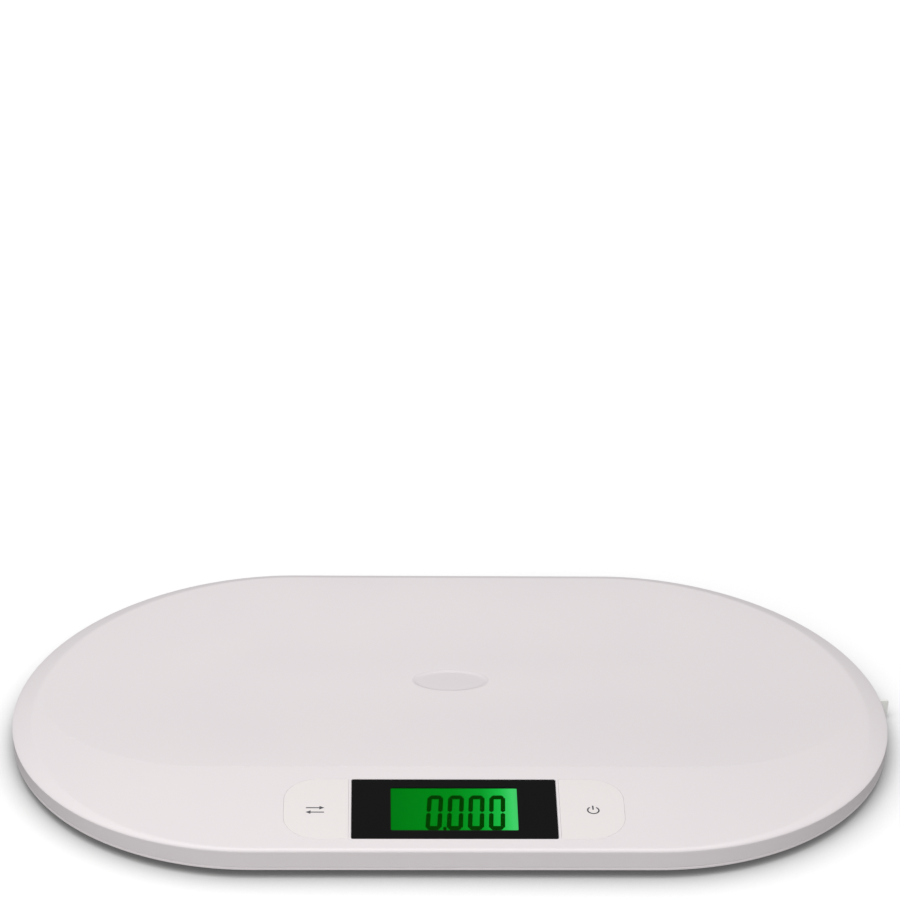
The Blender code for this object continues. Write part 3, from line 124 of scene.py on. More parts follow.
def pick(obj, kind, test):
    """In edit mode, select only the vertices, edges or faces that pass a test."""
    bpy.ops.mesh.select_mode(type=kind)
    bpy.ops.mesh.select_all(action="DESELECT")
    sketch = bmesh.from_edit_mesh(obj.data)
    for item in {"VERT": sketch.verts, "EDGE": sketch.edges, "FACE": sketch.faces}[kind]:
        if test(item):
            item.select_set(True)
    sketch.select_flush_mode()
    bmesh.update_edit_mesh(obj.data)


def apply(obj, kind, **settings):
    """Add a modifier with its settings, and apply it."""
    activate(obj)
    modifier = obj.modifiers.new(kind.lower(), kind)
    for setting, value in settings.items():
        setattr(modifier, setting, value)
    bpy.ops.object.modifier_apply(modifier=modifier.name)
    return obj


def settle(obj, name):
    """Name a new piece, and move its place, turn and size into its mesh."""
    obj.name = obj.data.name = name
    activate(obj)
    bpy.ops.object.transform_apply(location=True, rotation=True, scale=True)
    return obj


# %% Primitives and Booleans
ROUND_STEPS = 64


def block(name, low, high):
    low, high = Vector(low), Vector(high)
    bpy.ops.mesh.primitive_cube_add(size=1, location=(low + high) / 2)
    bpy.context.object.scale = high - low
    return settle(bpy.context.object, name)


def bar(name, x, y, length, width, bottom, top):
    """A block round an upright axis, with its length along X and its width along Y."""
    return block(name, (x - length / 2, y - width / 2, bottom), (x + length / 2, y + width / 2, top))


def disc(name, x, y, radius, bottom, top, steps=ROUND_STEPS):
    bpy.ops.mesh.primitive_cylinder_add(
        vertices=steps, radius=radius, depth=top - bottom, location=(x, y, (bottom + top) / 2)
    )
    return settle(bpy.context.object, name)


def boolean(obj, tool, operation):
    apply(obj, "BOOLEAN", object=tool, operation=operation, solver="EXACT")
    bpy.data.objects.remove(tool)
    return obj


def carve(obj, tool):
    return boolean(obj, tool, "DIFFERENCE")


def add(obj, tool):
    return boolean(obj, tool, "UNION")


def soften(obj, width, steps=2, degrees=30):
    """Round every edge sharper than the angle, as a mould's polish leaves them."""
    return apply(
        obj, "BEVEL", width=width, segments=steps, limit_method="ANGLE",
        angle_limit=math.radians(degrees), use_clamp_overlap=True,
    )


def copy_as(name, obj, offset):
    """A copy with its own mesh, set off from the first."""
    made = obj.copy()
    made.data = obj.data.copy()
    made.name = made.data.name = name
    made.data.transform(Matrix.Translation(offset))
    bpy.context.scene.collection.objects.link(made)
    return made


def merge(name, pieces):
    """Several loose bodies as one object."""
    activate(pieces[0])
    for piece in pieces:
        piece.select_set(True)
    bpy.ops.object.join()
    return settle(bpy.context.object, name)


# %% [markdown]
# ## Turned pieces and bars that follow an arc
# A turned piece starts as a plane merged to one point. The point is extruded along the profile
# and the line is spun about the upright axis, as on a lathe. An arc bar is a thin block whose
# end face is spun through part of a circle. With no window, spin turns clockwise.

# %% Spin a profile, or a block's end
WELD = 0.000001
ALONG = 0.9
ARC_START_SHARE = 1 / 8


def mend():
    """In edit mode, merge the points that meet and turn every face outwards."""
    bpy.ops.mesh.select_all(action="SELECT")
    bpy.ops.mesh.remove_doubles(threshold=WELD)
    bpy.ops.mesh.normals_make_consistent(inside=False)


def turned(name, x, y, profile, steps=ROUND_STEPS):
    """Spin (radius, height) points, from the axis round to the axis, into a closed solid."""
    bpy.ops.mesh.primitive_plane_add(size=1, location=(x, y, 0))
    obj = settle(bpy.context.object, name)
    with editing(obj):
        bpy.ops.mesh.select_mode(type="VERT")
        bpy.ops.mesh.select_all(action="SELECT")
        bpy.ops.mesh.merge(type="CENTER")
        places = [Vector((radius, 0, height)) for radius, height in profile]
        bpy.ops.transform.translate(value=places[0])
        for before, after in zip(places, places[1:]):
            bpy.ops.mesh.extrude_region_move(TRANSFORM_OT_translate={"value": after - before})
        bpy.ops.mesh.select_all(action="SELECT")
        bpy.ops.mesh.spin(steps=steps, angle=math.tau, center=(x, y, 0), axis=(0, 0, 1))
        mend()
    return obj


def arc_bar(name, x, y, radius, width, start, sweep, bottom, top, steps=32):
    """A bar bent round an upright axis: a thin block whose end face is spun."""
    thin = width * ARC_START_SHARE
    obj = block(name, (radius - width / 2, -thin, bottom), (radius + width / 2, 0, top))
    with editing(obj):
        pick(obj, "FACE", lambda face: face.normal.y > ALONG)
        bpy.ops.mesh.spin(steps=steps, angle=-sweep, center=(0, 0, 0), axis=(0, 0, 1))
        mend()
    obj.data.transform(Matrix.Translation((x, y, 0)) @ Matrix.Rotation(start, 4, "Z"))
    return obj


# %% [markdown]
# ## Materials
# Each finish is named for the real material. Colours are written as sRGB hex, as a colour
# picker on the photograph gives them, and one function turns them to the linear values that a
# shader wants. `add_node` adds a node with its settings and links, for every kind of node.

# %% Colours and nodes
def linear(hex_colour):
    channels = [int(hex_colour[i : i + 2], 16) / 255 for i in (0, 2, 4)]
    return [c / 12.92 if c <= 0.04045 else ((c + 0.055) / 1.055) ** 2.4 for c in channels] + [1.0]


def add_node(tree, kind, inputs=None, **settings):
    """Add a shader node. An input is a value, or another node's output to link from."""
    made = tree.nodes.new("ShaderNode" + kind)
    for setting, value in settings.items():
        setattr(made, setting, value)
    for socket, value in (inputs or {}).items():
        if isinstance(value, bpy.types.NodeSocket):
            tree.links.new(value, made.inputs[socket])
        else:
            made.inputs[socket].default_value = value
    return made


def start_material(name, **sockets):
    """A material with its shader's constant sockets set, and its place in object coordinates."""
    made = bpy.data.materials.new(name)
    made.use_nodes = True
    tree = made.node_tree
    shader = tree.nodes["Principled BSDF"]
    for socket, value in sockets.items():
        shader.inputs[socket.replace("_", " ")].default_value = value
    place = add_node(tree, "TexCoord").outputs["Object"]
    return made, tree, shader, place


def drifting(tree, place, colour, other, cloud):
    """A colour that drifts to another over cloud metres."""
    drift = add_node(tree, "TexNoise", {"Vector": place, "Scale": 1 / cloud, "Detail": 2.0})
    mix = add_node(tree, "MixRGB", {
        "Fac": drift.outputs["Fac"], "Color1": linear(colour), "Color2": linear(other),
    })
    return mix.outputs["Color"]


def mottled(name, colour, other, roughness, spread, cloud, grain, bump, **sockets):
    """A finish whose colour and roughness drift, with a grain in its surface."""
    made, tree, shader, place = start_material(name, **sockets)
    tree.links.new(drifting(tree, place, colour, other, cloud), shader.inputs["Base Color"])
    fine = add_node(tree, "TexNoise", {"Vector": place, "Scale": 1 / grain, "Detail": 3.0})
    rough = add_node(tree, "MapRange", {
        "Value": fine.outputs["Fac"], "To Min": roughness - spread, "To Max": roughness + spread,
    })
    tree.links.new(rough.outputs["Result"], shader.inputs["Roughness"])
    relief = add_node(tree, "Bump", {
        "Height": fine.outputs["Fac"], "Strength": 1.0, "Distance": bump,
    })
    tree.links.new(relief.outputs["Normal"], shader.inputs["Normal"])
    return made


# %% [markdown]
# ## Moulded plastics
# The tray is white ABS out of a steel mould whose face was etched very finely: it looks satin,
# with no mirror in it, and its white leans a little to pink. The cover below has a coarser
# texture, and the keys are polished a little more. The grain of the real mould is about
# 0.1 mm, which is finer than a pixel here, so it is drawn at 0.5 mm.

# %% Plastic finishes
abs_shell = mottled(
    "white_abs_satin", "DED8D9", "DBD5D7", 0.55, 0.05, 0.060, 0.0005, 0.000004, Specular_IOR_Level=0.25,
)
abs_cover = mottled("white_abs_textured", "DCDAD9", "D8D6D5", 0.55, 0.08, 0.040, 0.0007, 0.00002)
abs_key = mottled(
    "white_abs_key", "E0DADA", "DED8D7", 0.50, 0.04, 0.030, 0.0005, 0.000003, Specular_IOR_Level=0.25,
)
pp_foot = mottled("grey_polypropylene", "D3D3D2", "CCCCCB", 0.5, 0.08, 0.008, 0.0004, 0.00001)
tpe_pad = mottled("grey_rubber", "8C8C8A", "7F7F7E", 0.85, 0.08, 0.004, 0.0003, 0.00003)
pom_reel = mottled("white_acetal", "EDEDEA", "E6E6E2", 0.38, 0.05, 0.010, 0.0004, 0.000006)
holder_plastic = mottled("grey_abs_holder", "B9BBBC", "B0B2B3", 0.5, 0.06, 0.010, 0.0005, 0.00001)
epoxy = mottled("black_epoxy", "1A1A1B", "222223", 0.6, 0.08, 0.002, 0.0002, 0.000006)
lead_skin = mottled("grey_pvc_lead", "8A8D92", "7F8287", 0.5, 0.08, 0.006, 0.0004, 0.000008)
cell_sleeve = mottled("blue_pet_sleeve", "2F6486", "35708F", 0.28, 0.05, 0.010, 0.0006, 0.000004)
sleeve_band = mottled(
    "silver_pet_band", "B9BDC1", "C6C9CC", 0.3, 0.05, 0.006, 0.0006, 0.000004, Metallic=0.6,
)
legend_ink = mottled("grey_pad_print", "4D4D50", "55555A", 0.6, 0.05, 0.002, 0.0002, 0.000002)
print("plastics made")

# %% The oval mark's painted shade: darker inside the dimple
MARK_EDGE_SHARE = 0.97
MARK_LENGTH = 0.0508
MARK_WIDE = 0.0258
MARK_Y = 0.0265
DIMPLE_PAINTED_SHADE = "D5CFD1"
# Painted shade: the oval over the dimple gets a darker colour, which stands in for the shade that falls in
# the dimple.
tree = abs_shell.node_tree
shader = tree.nodes["Principled BSDF"]
plain = shader.inputs["Base Color"].links[0].from_socket
place = add_node(tree, "TexCoord").outputs["Object"]
oval = add_node(tree, "Mapping", {
    "Vector": place,
    "Location": (0, -2 * MARK_Y / MARK_WIDE, 0),
    "Scale": (2 / MARK_LENGTH, 2 / MARK_WIDE, 0),
})
reach = add_node(tree, "VectorMath", {0: oval.outputs["Vector"]}, operation="LENGTH")
inside = add_node(tree, "MapRange", {
    "Value": reach.outputs["Value"],
    "From Min": MARK_EDGE_SHARE, "From Max": 1.0, "To Min": 1.0, "To Max": 0.0,
})
mix = add_node(tree, "MixRGB", {
    "Fac": inside.outputs["Result"], "Color1": plain, "Color2": linear(DIMPLE_PAINTED_SHADE),
})
tree.links.new(mix.outputs["Color"], shader.inputs["Base Color"])

# %% [markdown]
# ## Metals
# Stamped steel shows fine rolling lines, drawn from noise stretched along the sheet. Nickel
# and zinc plating are brighter and smoother.

# %% Metal finishes
LINE_SWING = 0.2


def rolled(name, colour, other, roughness, grain, stretch):
    """A metal with lines of the given width, stretched along X."""
    made, tree, shader, place = start_material(name, Metallic=1.0)
    drawn = add_node(tree, "Mapping", {
        "Vector": place, "Scale": (1 / (grain * stretch), 1 / grain, 1 / grain),
    })
    lines = add_node(tree, "TexNoise", {"Vector": drawn.outputs["Vector"], "Scale": 1.0, "Detail": 2.0})
    mix = add_node(tree, "MixRGB", {
        "Fac": lines.outputs["Fac"], "Color1": linear(colour), "Color2": linear(other),
    })
    tree.links.new(mix.outputs["Color"], shader.inputs["Base Color"])
    rough = add_node(tree, "MapRange", {
        "Value": lines.outputs["Fac"],
        "To Min": roughness * (1 - LINE_SWING), "To Max": roughness * (1 + LINE_SWING),
    })
    tree.links.new(rough.outputs["Result"], shader.inputs["Roughness"])
    return made


cell_steel = rolled("load_cell_steel", "A4A6A9", "B4B6B8", 0.35, 0.0002, 20)
nickel = rolled("nickel_plated_steel", "BDBFC2", "CBCCCE", 0.24, 0.0002, 6)
zinc = rolled("zinc_plated_steel", "ACAEB2", "BEC0C3", 0.32, 0.0002, 3)
print("metals made")

# %% [markdown]
# ## Display, window, board and tape
# The window is acrylic with black print behind it and a matt hard coat, so it mirrors little.
# The display glows green from a light at its right, so its colour runs from deep green on the
# left to a paler green on the right. The tape is white vinyl with a tick each millimetre.

# %% Printed acrylic and the glowing display
acrylic_print = mottled(
    "black_printed_acrylic", "101010", "121212", 0.32, 0.03, 0.020, 0.0008, 0.000001,
    Specular_IOR_Level=0.05,
)
acrylic_clear, tree, shader, place = start_material(
    "clear_acrylic_lens", Roughness=0.0, IOR=1.03, Transmission_Weight=1.0, Specular_IOR_Level=0.0,
)
tree.links.new(drifting(tree, place, "FFFFFF", "F6FBF7", 0.020), shader.inputs["Base Color"])
GLOW_STOPS = (
    (0.0, "027814"), (0.5, "048A1A"), (0.7, "0A9C2A"), (0.83, "1CBC46"), (0.92, "41D36A"), (1.0, "50C270"),
)
lcd_low, lcd_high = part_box("lcd_glass")
lcd_glow, tree, shader, place = start_material(
    "green_backlit_display", Base_Color=linear("000200"), Roughness=0.5,
    Emission_Strength=1.0, Specular_IOR_Level=0.0,
)
apart = add_node(tree, "SeparateXYZ", {"Vector": place})
run = add_node(tree, "MapRange", {
    "Value": apart.outputs["X"], "From Min": lcd_low.x, "From Max": lcd_high.x,
})
glow = add_node(tree, "ValToRGB", {"Fac": run.outputs["Result"]})
glow.color_ramp.elements[0].color = linear(GLOW_STOPS[0][1])
glow.color_ramp.elements[1].color = linear(GLOW_STOPS[-1][1])
for position, colour in GLOW_STOPS[1:-1]:
    glow.color_ramp.elements.new(position).color = linear(colour)
tree.links.new(glow.outputs["Color"], shader.inputs["Emission Color"])
lcd_ink, tree, shader, place = start_material(
    "display_segment_ink", Base_Color=linear("000200"), Roughness=0.5,
    Emission_Strength=1.0, Specular_IOR_Level=0.0,
)
tree.links.new(drifting(tree, place, "033802", "063F04", 0.006), shader.inputs["Emission Color"])
light_guide = mottled("clear_light_guide", "DDF5DF", "D2EED6", 0.3, 0.05, 0.010, 0.0006, 0.000004)
print("display finishes made")

# %% Fibreglass board and vinyl tape
TRACES_PER_METRE = 160.0
board_mask, tree, shader, place = start_material("green_fibreglass_board", Roughness=0.4)
traces = add_node(tree, "TexBrick", {
    "Vector": place, "Scale": TRACES_PER_METRE, "Color1": linear("1E5B34"), "Color2": linear("1B5530"),
    "Mortar": linear("2F7A48"), "Mortar Size": 0.03, "Brick Width": 1.3, "Row Height": 0.35,
})
tree.links.new(traces.outputs["Color"], shader.inputs["Base Color"])

TICKS = ((0.001, 0.00018, 0.0020), (0.005, 0.00018, 0.0028), (0.010, 0.00022, 0.0038))
strip_low, strip_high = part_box("tape_strip")
tape_vinyl, tree, shader, place = start_material("white_vinyl_tape", Roughness=0.45)
apart = add_node(tree, "SeparateXYZ", {"Vector": place})
ink = None
for spacing, width, height in TICKS:
    steps = add_node(tree, "Math", {0: apart.outputs["X"], 1: spacing / 2}, operation="PINGPONG")
    line = add_node(tree, "Math", {0: steps.outputs[0], 1: width / 2}, operation="LESS_THAN")
    low_enough = add_node(
        tree, "Math", {0: apart.outputs["Z"], 1: strip_low.z + height}, operation="LESS_THAN"
    )
    tick = add_node(tree, "Math", {0: line.outputs[0], 1: low_enough.outputs[0]}, operation="MULTIPLY")
    if ink:
        tick = add_node(tree, "Math", {0: tick.outputs[0], 1: ink.outputs[0]}, operation="MAXIMUM")
    ink = tick
colour = add_node(tree, "MixRGB", {
    "Fac": ink.outputs[0], "Color1": linear("F0F0EC"), "Color2": linear("3A3A3C"),
})
tree.links.new(colour.outputs["Color"], shader.inputs["Base Color"])
print("board and tape finishes made")

# %% [markdown]
# ## Handing a piece over
# A finished piece gets its material and its smooth shading, in which large faces stay flat
# beside small round edges. It also gets the body that it rides on, and the CAD nodes that it
# stands for are hidden.

# %% Hand a piece over
def hand_over(obj, finish, body, nodes=(), degrees=30):
    if finish:
        obj.data.materials.clear()
        obj.data.materials.append(finish)
    activate(obj)
    bpy.ops.object.shade_smooth_by_angle(angle=math.radians(degrees))
    apply(obj, "WEIGHTED_NORMAL", keep_sharp=True)
    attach(obj, body)
    if nodes:
        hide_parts(*nodes)
    bpy.ops.object.select_all(action="DESELECT")
    print(obj.name, len(obj.data.polygons), "faces")
    return obj


# %% [markdown]
# ## The dish shell
# The tray is one injection moulding. From above it is a stadium: two half circles joined by
# straight sides. From its wall a slope leads up to a crest, broad at the ends, narrow at the
# back and only a small round edge in front. A shallow dish falls from the crest to a flat
# floor where the child lies. The dish's edge is round towards the back and flatter towards the
# console. It could be sculpted, but a mould follows rules, so the surface is drawn ring by
# ring: a circle primitive is extruded again and again, and each ring is put in place by the
# formula of the mould.

# %% Rings of the tray
END_STEPS = 96
SIDE_STEPS = 58
EDGE_RADIUS = 0.002
EDGE_STEPS = 12
RIM_DROP_AT_END = 0.0044
RIM_DROP_AT_BACK = 0.0019
RIM_ROUND_SHARE = 0.9
RIM_SLOPE_SHARE = 0.85
RIM_NARROWING = 1.2
PARTING_HEIGHT = 0.0011
PARTING_GROOVE = 0.00035
SHELL_WALL = 0.0018
DISH_END_LAND = 0.015
DISH_BACK_LAND = 0.0070
CONSOLE_DEPTH = 0.0805
DISH_WIDEST_Y = 0.010
DISH_FRONT_STRAIGHT = 0.294
DISH_DEPTH = 0.0062
DISH_FLOOR_LENGTH = 0.283
DISH_FLOOR_WIDTH = 0.037
DISH_CREASE_SHARE = 0.6
DISH_STEPS = 26
FLOOR_STEPS = 4
CREASE_HOLD_SHARE = 0.0015

shell_low, shell_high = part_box("top_shell")
half_length, half_depth = shell_high.x, shell_high.y
end_x = half_length - half_depth
dish_back = half_depth - DISH_BACK_LAND
end_land = half_depth - math.hypot(half_depth - DISH_END_LAND, DISH_WIDEST_Y)
dish_front = CONSOLE_DEPTH - half_depth
floor_y = (dish_front + dish_back) / 2
floor_end_x = DISH_FLOOR_LENGTH / 2 - DISH_FLOOR_WIDTH / 2


def around(point):
    """A ring of points: two ends that mirror each other, joined by two straight sides."""
    right = [point(math.pi * (i / END_STEPS - 0.5)) for i in range(END_STEPS + 1)]
    shares = [1 - 2 * i / SIDE_STEPS for i in range(1, SIDE_STEPS)]
    back = [(right[-1][0] * share, *right[-1][1:]) for share in shares]
    left = [(-x, *rest) for x, *rest in reversed(right)]
    front = [(-right[0][0] * share, *right[0][1:]) for share in shares]
    return right + back + left + front


def rim_ring(inset, z):
    radius = half_depth - inset
    return around(lambda a: (end_x + radius * math.cos(a), radius * math.sin(a), z))


def rim_share(angle):
    """1 at the tray's ends, falling to 0 along the back."""
    return max(0.0, math.cos(angle)) ** RIM_NARROWING


def rim_rounding(angle):
    """How far the edge reaches in and down, and how straight its slope is."""
    if angle >= 0:
        towards_end = rim_share(angle)
        land, drop, slope = DISH_BACK_LAND * RIM_ROUND_SHARE, RIM_DROP_AT_BACK, RIM_SLOPE_SHARE
    else:
        towards_end = math.cos(angle) ** 2
        land, drop, slope = EDGE_RADIUS, EDGE_RADIUS, 0
    return (
        land + (end_land * RIM_ROUND_SHARE - land) * towards_end,
        drop + (RIM_DROP_AT_END - drop) * towards_end,
        slope + (RIM_SLOPE_SHARE - slope) * towards_end,
    )


def rim_edge(turn):
    """One line of the tray's edge: turn runs from the wall to the rim, as an angle."""

    def point(angle):
        reach, drop, slope = rim_rounding(angle)
        radius = half_depth - reach * (1 - math.cos(turn))
        height = rim_z - drop * (slope * math.cos(turn) + (1 - slope) * (1 - math.sin(turn)))
        return (end_x + radius * math.cos(angle), radius * math.sin(angle), height)

    return around(point)


def dish_edge(angle):
    if angle >= 0:
        radius = half_depth - DISH_BACK_LAND - (end_land - DISH_BACK_LAND) * rim_share(angle)
        first = math.asin(DISH_WIDEST_Y / (half_depth - end_land))
        turn = first + (math.pi / 2 - first) * angle / (math.pi / 2)
        return end_x + radius * math.cos(turn), radius * math.sin(turn)
    straight = DISH_FRONT_STRAIGHT / 2
    return (
        straight + (half_length - DISH_END_LAND - straight) * math.cos(angle),
        DISH_WIDEST_Y + (DISH_WIDEST_Y - dish_front) * math.sin(angle),
    )


def dish_fall(share):
    soft = 3 * share**2 - 2 * share**3
    crisp = 2 * share - share**2
    return DISH_DEPTH * (DISH_CREASE_SHARE * crisp + (1 - DISH_CREASE_SHARE) * soft)


def dish_ring(share):
    """Share 0 is the dish's edge and 1 the edge of its flat floor."""
    height = rim_z - (dish_fall(share) if share > 0 else 0)

    def point(angle):
        edge = dish_edge(angle)
        radius = DISH_FLOOR_WIDTH / 2
        floor = (floor_end_x + radius * math.cos(angle), floor_y + radius * math.sin(angle))
        return (*(a + (b - a) * share for a, b in zip(edge, floor)), height)

    return around(point)


def floor_ring(share):
    radius = DISH_FLOOR_WIDTH / 2 * (1 - share)
    height = rim_z - DISH_DEPTH
    return around(lambda a: (floor_end_x + radius * math.cos(a), floor_y + radius * math.sin(a), height))


# %% Draw a surface ring by ring
def ring_surface(name, rings):
    """Extrude a circle primitive once for each further ring, and put each ring in place."""
    bpy.ops.mesh.primitive_circle_add(vertices=len(rings[0]))
    obj = settle(bpy.context.object, name)
    with editing(obj):
        bpy.ops.mesh.select_mode(type="VERT")
        bpy.ops.mesh.select_all(action="SELECT")
        sketch = bmesh.from_edit_mesh(obj.data)
        along = sketch.verts.layers.int.new("along")
        for number, vert in enumerate(sketch.verts):
            vert[along] = number
        for number, points in enumerate(rings):
            if number:
                bpy.ops.mesh.extrude_region()
            sketch = bmesh.from_edit_mesh(obj.data)
            along = sketch.verts.layers.int["along"]
            for vert in sketch.verts:
                if vert.select:
                    vert.co = points[vert[along]]
            bmesh.update_edit_mesh(obj.data)
    return obj


def close_surface(obj, up):
    """Merge what meets, and turn the faces up or down."""
    with editing(obj):
        mend()
    facing = sum(face.normal.z * face.area for face in obj.data.polygons)
    if (facing > 0) != up:
        with editing(obj):
            bpy.ops.mesh.select_all(action="SELECT")
            bpy.ops.mesh.flip_normals()
    obj.data.attributes.remove(obj.data.attributes["along"])
    return obj


parting_low = shell_low.z + PARTING_HEIGHT
parting_high = parting_low + 2 * PARTING_GROOVE
rings = [rim_ring(0, shell_low.z), rim_ring(0, parting_low)]
rings += [rim_ring(PARTING_GROOVE, parting_low + PARTING_GROOVE), rim_ring(0, parting_high)]
rings += [rim_edge(math.pi / 2 * i / EDGE_STEPS) for i in range(EDGE_STEPS + 1)]
rings += [dish_ring(-CREASE_HOLD_SHARE), dish_ring(0), dish_ring(CREASE_HOLD_SHARE)]
rings += [dish_ring(i / DISH_STEPS) for i in range(1, DISH_STEPS + 1)]
rings += [floor_ring(i / FLOOR_STEPS) for i in range(1, FLOOR_STEPS + 1)]
tray = close_surface(ring_surface("tray_shell", rings), up=True)
print("tray surface:", len(tray.data.polygons), "faces")

# %% [markdown]
# ## The centre mark
# A shallow oval dimple marks where the child's middle goes. It is pressed into the dish: the
# faces round it are subdivided, and their points sink by a soft step at the oval's edge.

# %% Press the dimple
DIMPLE_LENGTH = 0.051
DIMPLE_WIDTH = 0.026
DIMPLE_DEPTH = 0.0008
DIMPLE_BEFORE_MIDDLE = 0.011
DIMPLE_EDGE_SHARE = 0.16
DIMPLE_CUTS = 4
DIMPLE_CUT_REACH = 1.25
dimple_y = floor_y - DIMPLE_BEFORE_MIDDLE


def dimple_reach(point):
    """0 at the dimple's middle and 1 on its edge."""
    return math.hypot(point.x / (DIMPLE_LENGTH / 2), (point.y - dimple_y) / (DIMPLE_WIDTH / 2))


with editing(tray):
    pick(tray, "FACE", lambda face: dimple_reach(face.calc_center_median()) < DIMPLE_CUT_REACH)
    bpy.ops.mesh.subdivide(number_cuts=DIMPLE_CUTS)
for vert in tray.data.vertices:
    share = min(1.0, max(0.0, (1 - dimple_reach(vert.co)) / DIMPLE_EDGE_SHARE))
    vert.co.z -= DIMPLE_DEPTH * (3 * share**2 - 2 * share**3)
apply(tray, "SOLIDIFY", thickness=SHELL_WALL, offset=-1, use_even_offset=True, use_quality_normals=True)
print("tray wall:", len(tray.data.polygons), "faces")

# %% [markdown]
# ## Openings in the console
# The mould leaves a flat pocket for the window, an opening below it through which the display
# shows, two half-moon openings for the keys, and a slot in the right end for the tape. They
# are cut with Boolean tools of the pieces' own shapes, each a hair larger than its piece.

# %% Cut the openings
GAP = 0.0003
OVERRUN = 0.002
VIEW_WIDTH = 0.0728
VIEW_DEPTH = 0.041
VIEW_MARGIN = 0.0015
POCKET_CORNER = 0.0014
KEY_CORNER = 0.020
KEY_INNER_CORNER = 0.0006
SLOT_WIDTH = 0.0016
CONSOLE_TAPER = 0.016
CONSOLE_FIT = 0.994

window_low, window_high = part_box("display_window")
window_y = (window_low.y + window_high.y) / 2
shell_under = rim_z - SHELL_WALL


def upright(edge):
    a, b = (vert.co for vert in edge.verts)
    return abs(a.z - b.z) > ALONG * (a - b).length


def plate(name, low, high, corner, steps=8):
    """A flat plate whose upright edges are rounded."""
    obj = block(name, low, high)
    with editing(obj):
        pick(obj, "EDGE", upright)
        bpy.ops.mesh.bevel(offset=corner, segments=steps, affect="EDGES")
    return obj


def tapered(obj):
    """The console's pieces are a little wider towards the back."""
    for vert in obj.data.vertices:
        vert.co.x *= CONSOLE_FIT + CONSOLE_TAPER * (vert.co.y - window_y) / (window_high.y - window_y)
    return obj


def view_plate(name, grow, bottom, top, corner):
    """The display's opening as a plate, grown by a margin."""
    half, deep = VIEW_WIDTH / 2 + grow, VIEW_DEPTH / 2 + grow
    return tapered(plate(name, (-half, window_y - deep, bottom), (half, window_y + deep, top), corner))


def key_block(name, side, grow, bottom, top):
    """A half-moon block: its two outer corners are wide arcs, its inner ones nearly square."""
    inner = KEY_INNER_X - grow
    outer = KEY_OUTER_X + grow
    front = window_low.y - grow
    back = window_high.y + grow
    obj = block(name, (inner, front, bottom), (outer, back, top))
    with editing(obj):
        pick(obj, "EDGE", lambda e: upright(e) and e.verts[0].co.x > (inner + outer) / 2)
        bpy.ops.mesh.bevel(offset=KEY_CORNER + grow, segments=32, affect="EDGES")
        pick(obj, "EDGE", lambda e: upright(e) and e.verts[0].co.x < inner + WELD)
        bpy.ops.mesh.bevel(offset=KEY_INNER_CORNER + grow, segments=6, affect="EDGES")
    if side < 0:
        obj.data.transform(Matrix.Scale(-1, 4, (1, 0, 0)))
        with editing(obj):
            mend()
    return tapered(obj)


KEY_FLANGE_LIP = 0.0012
key_low, key_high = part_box("tare_key")
KEY_INNER_X = key_low.x + KEY_FLANGE_LIP
KEY_OUTER_X = key_high.x - KEY_FLANGE_LIP

pocket = plate(
    "pocket",
    (window_low.x - GAP, window_low.y - GAP, window_low.z - GAP),
    (window_high.x + GAP, window_high.y + GAP, rim_z + OVERRUN),
    POCKET_CORNER,
)
carve(tray, tapered(pocket))
carve(tray, view_plate("view", VIEW_MARGIN, shell_under - OVERRUN, rim_z + OVERRUN, POCKET_CORNER))
for side in (-1, 1):
    carve(tray, key_block("key_opening", side, GAP, shell_under - OVERRUN, rim_z + OVERRUN))
slot_y = (strip_low.y + strip_high.y) / 2
slot = block(
    "slot",
    (half_length - SHELL_WALL - OVERRUN, slot_y - SLOT_WIDTH / 2, shell_low.z - OVERRUN),
    (half_length + OVERRUN, slot_y + SLOT_WIDTH / 2, strip_high.z + GAP),
)
carve(tray, slot)
hand_over(tray, abs_shell, "scale_body", ["top_shell"], degrees=20)

# %% [markdown]
# ## The bottom cover
# The cover is a shallow pan that closes the shell from below. Its rim lies inside the shell's
# wall, and a ramp leads down to a flat bottom. It is drawn with the same rings. Round windows
# let the feet through, cups hold the screws' heads, a box holds the batteries, and a dished
# ring frames the tape's button.

# %% Draw the cover
COVER_WALL = 0.0016
COVER_RIM = 0.012
COVER_RAMP = 0.012
RAMP_STEPS = 10
cover_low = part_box("bottom_cover")[0]
cover_inset = SHELL_WALL + GAP
pan_top = cover_low.z + COVER_WALL
cover_drop = shell_low.z - cover_low.z

rings = [rim_ring(cover_inset, shell_low.z)]
for step in range(RAMP_STEPS + 1):
    share = step / RAMP_STEPS
    fall = cover_drop * (3 * share**2 - 2 * share**3)
    rings.append(rim_ring(COVER_RIM + COVER_RAMP * share, shell_low.z - fall))
cover = ring_surface("underside_cover", rings)
with editing(cover):
    pick(cover, "VERT", lambda v: abs(v.co.z - cover_low.z) < WELD and v.is_boundary)
    bpy.ops.mesh.edge_face_add()
cover = close_surface(cover, up=False)
apply(cover, "SOLIDIFY", thickness=COVER_WALL, offset=-1, use_even_offset=True, use_quality_normals=True)

# %% Add what stands on the cover, and cut its openings
JOIN = 0.0006
FOOT_WINDOW_RADIUS = 0.0146
FOOT_SEAT_WALL = 0.0018
FOOT_SEAT_HEIGHT = 0.0008
CUP_WALL = 0.0014
CUP_FLOOR = 0.0012
CUP_RECESS = 0.0024
SCREW_HOLE_RADIUS = 0.0015
BAY_WALL = 0.0013
BUTTON_RING_RADIUS = 0.0073
BUTTON_RING_DEPTH = 0.0005
SLEEVE_BORE = 0.0061
SLEEVE_WALL = 0.0008
TONGUE_WIDTH = 0.005
TONGUE_SPREAD_SHARE = 0.3
TONGUE_SLOT_HEIGHT = 0.0024


def middle_of(node):
    low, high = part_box(node)
    return (low + high) / 2


